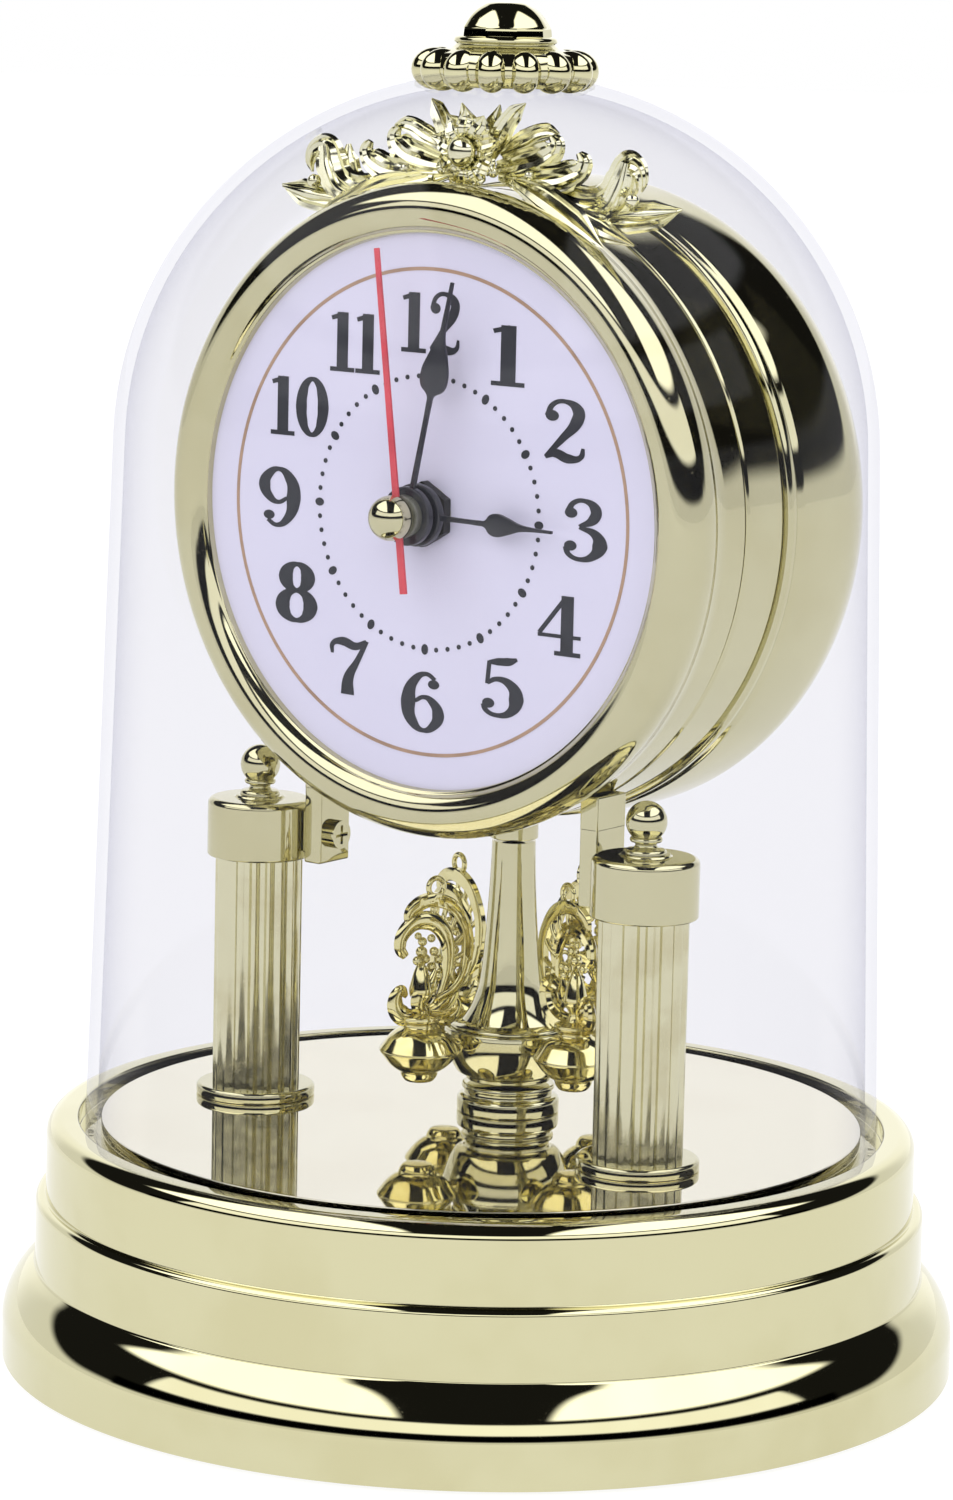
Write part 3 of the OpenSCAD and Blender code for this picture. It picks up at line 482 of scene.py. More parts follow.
def dome_material():
    """Clear polystyrene: see-through, greyed towards its edges by painted shade, with mirror gloss on
    top.
    """
    material, tree, bsdf = finish_material("clear_dome_plastic")
    tree.nodes.remove(bsdf)
    facing = tree.nodes.new("ShaderNodeLayerWeight")
    facing.inputs["Blend"].default_value = 0.5
    # painted shade: the see-through tint turns greyer where the surface is seen edge-on, standing in for
    # the darkening that refraction through the walls gives
    edge = ramp(tree, facing.outputs["Facing"], 0.55, 1.0)
    haze = noise(tree, coordinates(tree), 25, 2)
    clear_tint_with_painted_edge_shade = mixed(tree, edge, (0.945, 0.944, 0.956, 1), (0.87, 0.87, 0.90, 1))
    see = tree.nodes.new("ShaderNodeBsdfTransparent")
    feed(tree, see.inputs[0], clear_tint_with_painted_edge_shade)
    gloss = tree.nodes.new("ShaderNodeBsdfGlossy")
    gloss.inputs["Color"].default_value = (0.9, 0.9, 0.93, 1)
    feed(tree, gloss.inputs["Roughness"], ramp(tree, haze, 0.3, 0.7, 0.02, 0.05))
    fresnel = tree.nodes.new("ShaderNodeFresnel")
    fresnel.inputs["IOR"].default_value = 1.45
    mix = tree.nodes.new("ShaderNodeMixShader")
    outer = sums(tree, "SUBTRACT", 1.0, tree.nodes.new("ShaderNodeNewGeometry").outputs["Backfacing"])
    feed(tree, mix.inputs[0],
         sums(tree, "MULTIPLY", sums(tree, "MULTIPLY", fresnel.outputs[0], outer), DOME_GLOSS))
    feed(tree, mix.inputs[1], see.outputs[0])
    feed(tree, mix.inputs[2], gloss.outputs[0])
    feed(tree, tree.nodes["Material Output"].inputs["Surface"], mix.outputs[0])
    return material


dome_clear = dome_material()

# ---- places taken from the frame ----


def box_mm(name):
    low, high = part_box(name)
    return low / MM, high / MM


def middle_mm(name):
    low, high = box_mm(name)
    return (low + high) / 2


case_z = middle_mm("dial").z
base_r = box_mm("base_shell")[1].x
deck_top = box_mm("mirror_plate")[1].z
column_at = middle_mm("column_right")
column_top = box_mm("column_right")[1].z
cap_high = box_mm("cap_right")[1]
strap_low, strap_high = box_mm("strap_right")
pendulum_at = middle_mm("pendulum_hub")
dome_low, dome_high = box_mm("dome")
finial_high = box_mm("dome_finial")[1].z
dial_front = box_mm("dial")[0].y
to_case = shift(0, 0, case_z) @ turn(90, "X")
to_turned_case = shift(0, 0, case_z) @ turn(-90, "X")
to_pendulum = shift(pendulum_at.x, pendulum_at.y, 0)

# ---- base ----

deck_r = box_mm("mirror_plate")[1].x
base_shell = turned([(base_r, 0.4, 0.2), (base_r, 8.1, 3.7), (46.55, 10.15, 0.3), (46.5, 17.5, 0.75),
                     (45.5, 17.5, 0.15), (45.4, 25.6, 1.7), (42.1, 25.6, 0.3), (42.1, 23.6, 0.1),
                     (39.8, 23.6), (39.8, 24.3), (3, 24.3), (3, 21.6), (43.4, 21.6, 0.5), (43.4, 17.5),
                     (44.5, 16.1), (44.5, 10.2), (47.9, 4.4), (47.9, 0.4)],
    steps=256)
place("tiered_base", base_shell, gold_base, "base", ["base_shell"], "gold", sharp=40)

deck = turned([(0, 24.3), (deck_r, 24.3), (deck_r, deck_top, 0.12), (0, deck_top)], closed=False,
              steps=160)
place("polished_deck", deck, gold_mirror, "base", ["mirror_plate"], "polished_plate")

# ---- columns ----

FLUTES = 18
SHAFT_R = 4.6
FLUTE_DEPTH = 0.45
FLAT_SHARE = 0.28


def fluted_shaft(low, high):
    """A shaft with rounded channels and narrow flats between them."""
    bm = bmesh.new()
    per_flute = 10
    bmesh.ops.create_circle(bm, segments=FLUTES * per_flute, radius=SHAFT_R, cap_ends=True)
    for vert in bm.verts:
        turns = math.atan2(vert.co.y, vert.co.x) / FULL_TURN * FLUTES
        share = turns - math.floor(turns)
        if share > FLAT_SHARE:
            across = (share - FLAT_SHARE) / (1 - FLAT_SHARE)
            vert.co *= 1 - FLUTE_DEPTH / SHAFT_R * math.sin(math.pi * across) ** 0.8
    wall = bmesh.ops.extrude_face_region(bm, geom=bm.faces[:])
    bmesh.ops.translate(bm, vec=(0, 0, high - low),
                        verts=[g for g in wall["geom"] if isinstance(g, bmesh.types.BMVert)])
    bmesh.ops.translate(bm, vec=(0, 0, low), verts=bm.verts)
    return bm


WEB_REACH = 5.9
ring_top = deck_top + 1.2
for side, hand in (("left", -1), ("right", 1)):
    at = shift(hand * column_at.x, column_at.y, 0)
    place("fluted_shaft_" + side, fluted_shaft(ring_top, column_top), gold_shaft, "base",
          ["column_" + side], "gold", at, sharp=50)
    ring = turned([(1.6, deck_top), (6.3, deck_top, 0.2), (6.3, ring_top, 0.35), (1.6, ring_top)],
                  steps=96)
    place("column_foot_ring_" + side, ring, gold, "base", ["column_ring_" + side], "gold", at)

    # cap drum with a raised top disc, and the web that reaches in behind it to the strap
    cap = turned([(0, column_top), (5.5, column_top, 0.25), (5.5, cap_high.z, 0.7),
                  (2.6, cap_high.z, 0.2), (2.5, cap_high.z + 0.25, 0.1), (0, cap_high.z + 0.25)],
                 steps=96, closed=False)
    block(cap, (min(0, -hand * WEB_REACH), 1.0, 52), (max(0, -hand * WEB_REACH), 4.0, 56.6), 0.25)
    place("column_cap_" + side, cap, gold, "base", ["cap_" + side], "gold", at)

    finial_ball = turned([(0, cap_high.z), (2.1, cap_high.z, 0.2), (2.1, cap_high.z + 0.75, 0.3),
                          (1.15, cap_high.z + 0.85, 0.3), (1.05, cap_high.z + 1.35, 0.25),
                          (1.65, cap_high.z + 1.5, 0.15), (1.65, cap_high.z + 1.95, 0.2),
                          (0, cap_high.z + 1.95)], steps=64, closed=False)
    ball(finial_ball, (0, 0, cap_high.z + 3.5), 2.1, detail=24)
    place("cap_ball_finial_" + side, finial_ball, gold, "base", ["cap_ball_" + side], "gold", at)

    strap = bmesh.new()
    inner, outer = sorted((hand * strap_low.x, hand * strap_high.x))
    block(strap, (inner, strap_low.y, strap_low.z), (outer, strap_high.y, 59.5), 0.25)
    block(strap, (inner, strap_low.y, 59.0), (outer, strap_high.y, strap_high.z - 0.6), 0.2)
    place("case_strap_" + side, strap, gold, "base", ["strap_" + side], "gold")

# ---- pendulum ----

socket = turned([(0, 25.5), (5.4, 25.5, 0.2), (5.4, 27.2, 0.45), (4.65, 27.3, 0.15), (4.65, 27.9, 0.1),
                 (4.9, 28.0, 0.1), (4.9, 28.5, 0.2), (0, 28.55)], steps=96, closed=False)
place("pendulum_foot", socket, gold, "base", ["pendulum_socket"], "gold", to_pendulum)

hub = turned([(0, 28.9), (4.5, 28.9, 0.2), (4.5, 29.5, 0.3), (5.5, 29.7, 0.3), (6.9, 32.2, 1.8),
              (6.9, 34.6, 0.25), (0, 34.6)], steps=128, closed=False)
place("pendulum_bowl", hub, gold, "pendulum", ["pendulum_hub"], "gold", to_pendulum)

stem = turned([(0, 34.6), (6.3, 34.6, 0.2), (6.2, 34.95, 0.15), (5.0, 35.3), (3.5, 37.2, 2.4),
               (2.35, 47.5, 9.0), (2.3, 54.4, 0.15), (0, 54.4)], steps=96, closed=False)
place("pendulum_trumpet_stem", stem, gold, "pendulum", ["pendulum_stem"], "gold", to_pendulum)

LEAF_CUT = section([(-1, 0), (-0.85, 0.28), (-0.6, 0.16), (-0.35, 0.48), (0, 0.3), (0.35, 0.48),
                    (0.6, 0.16), (0.85, 0.28), (1, 0), (0.7, -0.3), (0, -0.42), (-0.7, -0.3)],
                   "ribbed_leaf_cut")
FLAT_CUT = section([(-1, -0.45), (-1, 0.45), (-0.8, 0.6), (0.8, 0.6), (1, 0.45), (1, -0.45), (0.8, -0.6),
                    (-0.8, -0.6)], "flat_bar_cut")
PRINT_CUT = section([(-1, -0.05), (-1, 0.05), (1, 0.05), (1, -0.05)], "print_cut")


def arc_path(x, y, r, start, end, sizes, z=0.0, squash=1.0):
    """Points along an arc, with one size for each point."""
    last = len(sizes) - 1
    path = []
    for i, size in enumerate(sizes):
        a = math.radians(start + (end - start) * i / last)
        path.append((x + r * math.cos(a), y + r * squash * math.sin(a), z, size))
    return path


def pendulum_ornament():
    """One scroll ornament, drawn flat: x runs out from the pendulum's axis and y runs up."""
    bm = bmesh.new()
    upright = turn(-90, "X")
    bulb = turned([(0, 29.9), (1.5, 29.95, 0.2), (1.9, 30.5, 0.2), (2.0, 31.0, 0.15), (2.9, 31.4, 0.8),
                   (4.3, 33.25, 0.25), (2.9, 35.2, 0.8), (1.75, 35.7, 0.2), (1.75, 36.2, 0.15),
                   (2.15, 36.4, 0.15), (2.15, 36.9, 0.15), (0.9, 37.1, 0.2), (0.55, 38.0, 0.2),
                   (1.35, 39.3, 0.5), (0.75, 41.6, 0.5), (0, 43.2)],
                  steps=48, closed=False)
    join(bm, bulb, shift(11.5, 0, 0) @ upright)
    # arm into the hub
    strand(bm, [(5.6, 33.2, 0, 0.85), (7.0, 33.2, 0, 0.85), (8.6, 33.4, 0, 0.7)])
    # small scroll leaf on the outer side and a larger curled one on the inner side
    strand(bm, [(11.9, 36.8, 0, 0.7), (13.6, 37.0, 0.2, 1.1), (14.5, 38.3, 0.3, 1.0),
                (13.8, 39.6, 0.3, 0.7), (13.0, 39.0, 0.4, 0.3)], LEAF_CUT)
    strand(bm, [(11.0, 36.9, 0, 0.8), (9.0, 37.2, 0.3, 1.3), (7.5, 38.8, 0.5, 1.3), (8.0, 40.6, 0.6, 1.1),
                (9.5, 40.4, 0.6, 0.5)], LEAF_CUT)
    strand(bm,
           [(10.4, 36.7, -0.2, 0.7), (8.0, 36.4, 0, 1.0), (6.9, 37.4, 0.2, 0.8), (7.3, 38.4, 0.3, 0.3)],
           LEAF_CUT)
    strand(bm, [(11.2, 37.0, -0.3, 0.9), (12.0, 38.6, -0.5, 1.1), (10.6, 40.2, -0.5, 0.9),
                (9.9, 41.6, -0.4, 0.3)],
           LEAF_CUT)
    # bead cluster over the spike
    for x, y, z, size in ((11.5, 43.6, 0, 0.62), (10.7, 42.7, 0.5, 0.55), (12.3, 42.8, -0.4, 0.5),
                          (11.2, 44.6, 0.3, 0.5), (10.2, 43.6, -0.4, 0.5), (10.0, 41.8, 0.3, 0.55),
                          (9.3, 42.6, 0.1, 0.5), (11.9, 45.3, 0.1, 0.4), (10.5, 45.0, -0.3, 0.45),
                          (9.6, 41.0, -0.5, 0.5)):
        ball(bm, (x, y, z), size, detail=8)
    # inner arch that curls over outwards and down to its lip
    strand(bm, [(9.0, 38.6, 0, 0.55), (8.1, 42.0, 0, 0.75), (8.7, 45.3, 0, 0.95), (11.0, 46.9, 0, 1.0),
                (13.4, 46.2, 0, 0.9), (14.2, 44.3, 0, 0.75), (13.5, 43.3, 0, 0.45)], LEAF_CUT)
    # outer curved frame on the inner side
    strand(bm, [(9.4, 38.4, 0, 0.5), (7.0, 39.6, 0, 0.55), (5.7, 42.8, 0, 0.6), (6.5, 46.6, 0, 0.65),
                (9.2, 48.8, 0, 0.75), (12.1, 48.6, 0, 0.7), (13.2, 47.4, 0, 0.5), (12.6, 46.5, 0, 0.3)],
           FLAT_CUT)
    # fan ribs between frame and arch
    for x0, y0, x1, y1 in ((8.5, 43.3, 6.2, 44.9), (8.7, 44.6, 7.0, 47.0), (9.3, 45.9, 8.4, 48.3),
                           (10.4, 46.9, 10.2, 48.9), (8.2, 42.1, 5.9, 43.0)):
        strand(bm,
               [(x0, y0, 0, 0.34), ((x0 + x1) / 2 - 0.2, (y0 + y1) / 2, 0.15, 0.28), (x1, y1, 0, 0.32)],
               fine=4)
    strand(bm, arc_path(6.9, 40.9, 0.85, 0, 300, [0.25] * 6), fine=3, loop=True)
    # hanging ring at the top
    strand(bm, arc_path(9.8, 50.3, 0.95, 0, 315, [0.3] * 8), fine=3, loop=True)
    bmesh.ops.rotate(bm, verts=bm.verts, cent=(0, 0, 0), matrix=turn(90, "X").to_3x3())
    return bm


for which in ("front", "right", "back", "left"):
    low, high = box_mm("ornament_" + which)
    centre = (low + high) / 2 - Vector((pendulum_at.x, pendulum_at.y, 0))
    angle = math.degrees(math.atan2(centre.y, centre.x))
    place("scroll_ornament_" + which, pendulum_ornament(), gold_cast, "pendulum", ["ornament_" + which],
          "gold", to_pendulum @ turn(angle), sharp=40)

# ---- case ----

bezel = turned([(31, -2.25), (32.3, -2.25, 0.12), (32.5, -2.5), (32.5, -7.0, 1.2), (33.35, -9.2, 1.1),
                (33.3, -12.2, 1.6), (30.6, -13.95, 1.3), (28.9, -12.9, 0.35), (28.6, -12.35, 0.15),
                (28.3, -12.2, 0.1), (28.2, -11.5), (29.5, -11.5), (29.5, -10.5), (31, -10.5)], steps=192)
place("bezel_ring", bezel, gold, "base", ["bezel"], "gold", to_turned_case, sharp=40)

band = turned([(31, -1.95), (32.3, -1.95, 0.15), (32.5, -1.6, 0.1), (32.5, 4.3, 0.15), (32.1, 4.8, 0.1),
               (31, 4.85)], steps=192)
place("case_middle_band", band, gold, "base", ["case_band"], "gold", to_turned_case, sharp=40)

back_y = box_mm("case_back")[1].y
shell = turned([(31, 4.95), (32.8, 4.95, 0.15), (33.05, 5.4, 0.2), (33.0, 6.2, 0.2), (32.7, 6.6, 0.1),
                (33.1, 7.2, 0.3), (33.6, 12, 3.5), (33.2, back_y - 4.5, 5.5), (27.5, back_y, 5.0),
                (9, back_y, 0.3), (8.6, back_y - 0.5, 0.3), (0, back_y - 0.5), (0, back_y - 2),
                (21, back_y - 2), (31.5, 16), (31, 9)], steps=192, closed=False)
place("case_back_shell", shell, gold, "base", ["case_back"], "gold", to_turned_case, sharp=40)

card = turned([(2.95, dial_front), (29.4, dial_front), (29.4, dial_front + 1), (2.95, dial_front + 1)],
              steps=160)
place("dial_card", card, dial_card, "base", ["dial"], "dial_card", to_turned_case)

# ---- dial print ----

PRINT_Z = -dial_front + 0.03
BOLD = 0.098
FINE = 0.036


def oval_stroke(x, y, rx, ry):
    """A closed loop, heavy at its sides and fine at top and foot."""
    made = []
    for i in range(12):
        a = FULL_TURN * i / 12
        heavy = abs(math.cos(a))
        made.append((x + rx * math.cos(a), y + ry * math.sin(a), FINE + (BOLD - FINE) * heavy ** 1.5))
    return made


SIX = [[(0.47, 0.88, 0.03), (0.34, 0.96, FINE), (0.19, 0.84, 0.06), (0.11, 0.5, BOLD),
        (0.16, 0.18, 0.075), (0.32, 0.035, FINE), (0.47, 0.14, 0.065), (0.52, 0.31, 0.08),
        (0.45, 0.5, 0.06), (0.33, 0.58, FINE), (0.2, 0.5, 0.028)]]
STROKES = {
    "0": ([], [oval_stroke(0.32, 0.5, 0.2, 0.455)], []),
    "1": ([[(0.32, 0.03, BOLD), (0.32, 0.5, BOLD), (0.32, 0.96, BOLD)],
           [(0.1, 0.035, FINE), (0.54, 0.035, FINE)], [(0.34, 0.93, 0.04), (0.12, 0.86, FINE)]], [], []),
    "2": ([[(0.1, 0.72, 0.04), (0.18, 0.92, FINE), (0.33, 0.965, 0.035), (0.49, 0.85, 0.075),
            (0.48, 0.66, 0.08), (0.3, 0.38, 0.05), (0.1, 0.1, 0.028)],
           [(0.08, 0.07, 0.03), (0.2, 0.14, 0.07), (0.38, 0.07, 0.075), (0.53, 0.1, 0.04),
            (0.57, 0.25, 0.022)]],
          [], [(0.16, 0.73, 0.085)]),
    "3": ([[(0.12, 0.78, 0.04), (0.2, 0.93, FINE), (0.33, 0.965, 0.035), (0.47, 0.86, 0.07),
            (0.45, 0.68, 0.07), (0.27, 0.555, 0.026)],
           [(0.27, 0.54, 0.026), (0.48, 0.45, 0.065), (0.54, 0.27, BOLD), (0.45, 0.1, 0.06),
            (0.29, 0.035, FINE), (0.14, 0.1, FINE), (0.1, 0.22, 0.04)]],
          [], [(0.16, 0.76, 0.08), (0.16, 0.24, 0.08)]),
    "4": ([[(0.42, 0.035, 0.08), (0.42, 0.5, 0.08), (0.42, 0.96, 0.08)],
           [(0.4, 0.94, 0.03), (0.06, 0.34, 0.03)], [(0.04, 0.31, 0.03), (0.6, 0.31, 0.03)],
           [(0.26, 0.035, FINE), (0.6, 0.035, FINE)]], [], []),
    "5": ([[(0.16, 0.88, 0.03), (0.28, 0.9, 0.06), (0.42, 0.92, 0.065), (0.53, 0.97, 0.025)],
           [(0.165, 0.9, 0.028), (0.14, 0.53, 0.028)],
           [(0.14, 0.54, 0.028), (0.27, 0.62, 0.04), (0.46, 0.54, 0.07), (0.53, 0.32, BOLD),
            (0.45, 0.1, 0.06), (0.28, 0.035, FINE), (0.13, 0.1, FINE), (0.1, 0.2, 0.04)]],
          [], [(0.16, 0.22, 0.08)]),
    "6": (SIX, [], [(0.45, 0.8, 0.075)]),
    "7": ([[(0.08, 0.7, 0.02), (0.09, 0.86, 0.035), (0.22, 0.91, 0.07), (0.4, 0.85, 0.065),
            (0.55, 0.95, 0.028)],
           [(0.555, 0.95, 0.028), (0.43, 0.62, 0.04), (0.31, 0.32, 0.07), (0.3, 0.045, 0.09)]], [], []),
    "8": ([], [oval_stroke(0.32, 0.745, 0.155, 0.215), oval_stroke(0.32, 0.28, 0.195, 0.245)], []),
    "9": ([[(0.64 - x, 1 - y, w) for x, y, w in SIX[0]]], [], [(0.19, 0.2, 0.075)]),
}


def numeral(bm, text, x, y, tall, wide):
    """Bold serif numerals from pen strokes, centred on a point of the dial."""
    pitch = 0.62 * wide
    advance = {"1": 0.46 * wide}
    widths = [advance.get(c, pitch) for c in text]
    left = x - sum(widths) / 2
    for c, w in zip(text, widths):
        start = left - (0.09 * wide if c == "1" else 0.01 * wide)
        open_lines, loops, dots = STROKES[c]
        spread = Matrix.Diagonal((wide / tall, 1, 1, 1))
        put = shift(start, y - tall / 2, PRINT_Z) @ spread
        for line in open_lines:
            strand(bm, [(a * tall, b * tall, 0, t * tall) for a, b, t in line], PRINT_CUT, 6, put)
        for line in loops:
            strand(bm, [(a * tall, b * tall, 0, t * tall) for a, b, t in line], PRINT_CUT, 4, put,
                   loop=True)
        for a, b, t in dots:
            disc = bmesh.new()
            bmesh.ops.create_cone(disc, cap_ends=True, segments=20, radius1=t * tall, radius2=t * tall,
                                  depth=0.06)
            join(bm, disc, put @ shift(a * tall, b * tall, 0))
        left += w


NUMERAL_R = 19.3
numerals = bmesh.new()
for hour in range(1, 13):
    a = math.radians(90 - 30 * hour)
    double = hour > 9
    numeral(numerals, str(hour), NUMERAL_R * math.cos(a), NUMERAL_R * math.sin(a), 6.3,
            7.1 if double else 9.4)
place("dial_numerals", numerals, print_ink, "base", (), None, to_case, sharp=50)

dots = bmesh.new()
for minute in range(60):
    a = math.radians(6 * minute)
    hour_mark = minute % 5 == 0
    spot = bmesh.new()
    bmesh.ops.create_cone(spot, cap_ends=True, segments=12, radius1=1, radius2=1, depth=0.06)
    size = Matrix.Diagonal((0.42, 0.55, 1, 1)) if hour_mark else Matrix.Diagonal((0.25, 0.25, 1, 1))
    join(dots, spot, turn(-6 * minute) @ shift(0, 13.9, PRINT_Z) @ size)
place("dial_minute_dots", dots, print_ink, "base", (), None, to_case, sharp=50)

ring_print = turned([(24.5, dial_front - 0.06), (24.85, dial_front - 0.06), (24.85, dial_front + 0.02),
                     (24.5, dial_front + 0.02)], steps=160)
place("dial_bronze_ring", ring_print, print_bronze, "base", (), None, to_turned_case, sharp=50)

nut = bmesh.new()
nut_low, nut_high = box_mm("centre_nut")
bmesh.ops.create_cone(nut, cap_ends=True, segments=6, radius1=3.4, radius2=3.4,
                      depth=nut_high.y - nut_low.y)
bmesh.ops.bevel(nut, geom=nut.edges[:], offset=0.15, offset_type="OFFSET", segments=2, profile=0.5,
                affect="EDGES", material=-1)
place("dial_centre_nut", nut, black_plastic, "base", ["centre_nut"], "gold",
      to_case @ shift(0, 0, -middle_mm("centre_nut").y))

# ---- hands ----


def flat_shape(points, thick, edge=0.05):
    """A flat stamping from a closed outline."""
    curve = bpy.data.curves.new("stamping", "CURVE")
    curve.dimensions = "2D"
    curve.fill_mode = "BOTH"
    curve.extrude = thick / 2 - edge
    curve.bevel_depth = edge
    curve.bevel_resolution = 1
    curve.resolution_u = 10
    spline = curve.splines.new("BEZIER")
    spline.bezier_points.add(len(points) - 1)
    for point, p in zip(spline.bezier_points, points):
        point.co = (p[0], p[1], 0)
        corner = len(p) > 2
        point.handle_left_type = point.handle_right_type = "VECTOR" if corner else "AUTO"
    spline.use_cyclic_u = True
    made = bpy.data.objects.new("stamping", curve)
    bpy.context.scene.collection.objects.link(made)
    bpy.context.view_layer.update()
    mesh = bpy.data.meshes.new_from_object(made.evaluated_get(bpy.context.evaluated_depsgraph_get()))
    bm = bmesh.new()
    bm.from_mesh(mesh)
    bpy.data.objects.remove(made)
    bpy.data.curves.remove(curve)
    bpy.data.meshes.remove(mesh)
    return bm


def spade_hand(length, boss, bore):
    """A thin stem, a drop-shaped blade and a long needle point."""
    foot = 0.52 * length
    wide = 0.066 * length
    half = [(0.24, boss * 0.8, 1), (0.22, foot - 0.9), (0.3, foot - 0.1),
            (wide * 0.85, foot + 0.035 * length), (wide, foot + 0.085 * length),
            (wide * 0.72, foot + 0.16 * length), (0.34, foot + 0.245 * length),
            (0.17, foot + 0.34 * length), (0.1, length, 1)]
    points = half + [(-p[0], *p[1:]) for p in reversed(half)]
    bm = flat_shape(points, 0.4)
    join(bm, turned([(bore, -0.45), (boss, -0.45, 0.15), (boss, 0.45, 0.2), (bore, 0.45)], steps=64))
    return bm


# degrees clockwise from twelve; the lengths come from how far each hand's node reaches
HOUR_ANGLE, MINUTE_ANGLE, SECOND_ANGLE = 91, 12, 353
hour_len = box_mm("hour_hand")[1].x / math.sin(math.radians(HOUR_ANGLE))
minute_len = (box_mm("minute_hand")[1].z - case_z) / math.cos(math.radians(MINUTE_ANGLE))
second_len = (box_mm("second_hand")[1].z - case_z) / math.cos(math.radians(SECOND_ANGLE))


def on_arbor(name, angle):
    return to_case @ shift(0, 0, -middle_mm(name).y) @ turn(-angle)


place("hour_spade", spade_hand(hour_len, 3.2, 2.02), hand_black, "hour", ["hour_hand"], "hand_black",
      on_arbor("hour_hand", HOUR_ANGLE))
place("minute_spade", spade_hand(minute_len, 3.0, 1.25), hand_black, "minute", ["minute_hand"],
      "hand_black", on_arbor("minute_hand", MINUTE_ANGLE))

sweep = flat_shape([(0.36, -7.7, 1), (0.24, second_len, 1), (-0.24, second_len, 1), (-0.36, -7.7, 1)],
                   0.3)
join(sweep, turned([(0.6, -0.25), (1.3, -0.25, 0.1), (1.3, 0.25, 0.1), (0.6, 0.25)], steps=48))
place("second_sweep", sweep, hand_red, "second", ["second_hand"], "hand_red",
      on_arbor("second_hand", SECOND_ANGLE))

BALL_R = 2.3
second_plane = middle_mm("second_hand").y
minute_front = box_mm("minute_hand")[0].y
hub_ball = turned([(0, second_plane - 0.15), (1.4, second_plane - 0.15, 0.1), (1.4, second_plane - 0.6),
                   (0, second_plane - 0.6)],
                  steps=64, closed=False)
ball(hub_ball, (0, 0, box_mm("second_cap")[0].y + BALL_R), BALL_R, detail=32)
place("hand_ball_cap", hub_ball, gold, "second", ["second_cap"], "gold", to_turned_case)

# pipe that shows between the black bosses and the ball
pipe = turned([(0.65, second_plane + 0.3), (2.2, second_plane + 0.3, 0.2), (2.2, minute_front + 0.1, 0.1),
               (0.65, minute_front + 0.1)], steps=64)
place("minute_pipe_collar", pipe, tube_grey, "minute", (), None, to_turned_case)

# ---- crest ----

crest_y = box_mm("crest")[1].y - 2
to_crest = shift(0, crest_y, case_z) @ turn(90, "X")
crest = bmesh.new()
ball(crest, (0, 36.2, 2.9), 1.55, (1, 1, 0.8), detail=20)
strand(crest, arc_path(0, 36.2, 1.9, 0, 330, [0.3] * 12, z=2.2), fine=3, loop=True)
for angle, reach, size in ((18, 4.6, 1.25), (58, 4.4, 1.3), (90, 4.4, 1.3), (122, 4.4, 1.3),
                           (162, 4.6, 1.25), (205, 3.9, 1.15), (240, 3.4, 1.0), (270, 3.2, 1.0),
                           (300, 3.4, 1.0), (335, 3.9, 1.15)):
    c, s = math.cos(math.radians(angle)), math.sin(math.radians(angle))
    strand(crest, [(1.1 * c, 36.2 + 1.1 * s, 1.8, 0.5), (2.3 * c, 36.2 + 2.3 * s, 2.3, size),
                   (3.4 * c, 36.2 + 3.4 * s, 2.0, size * 0.85), (reach * c, 36.2 + reach * s, 2.4, 0.08)],
           LEAF_CUT)
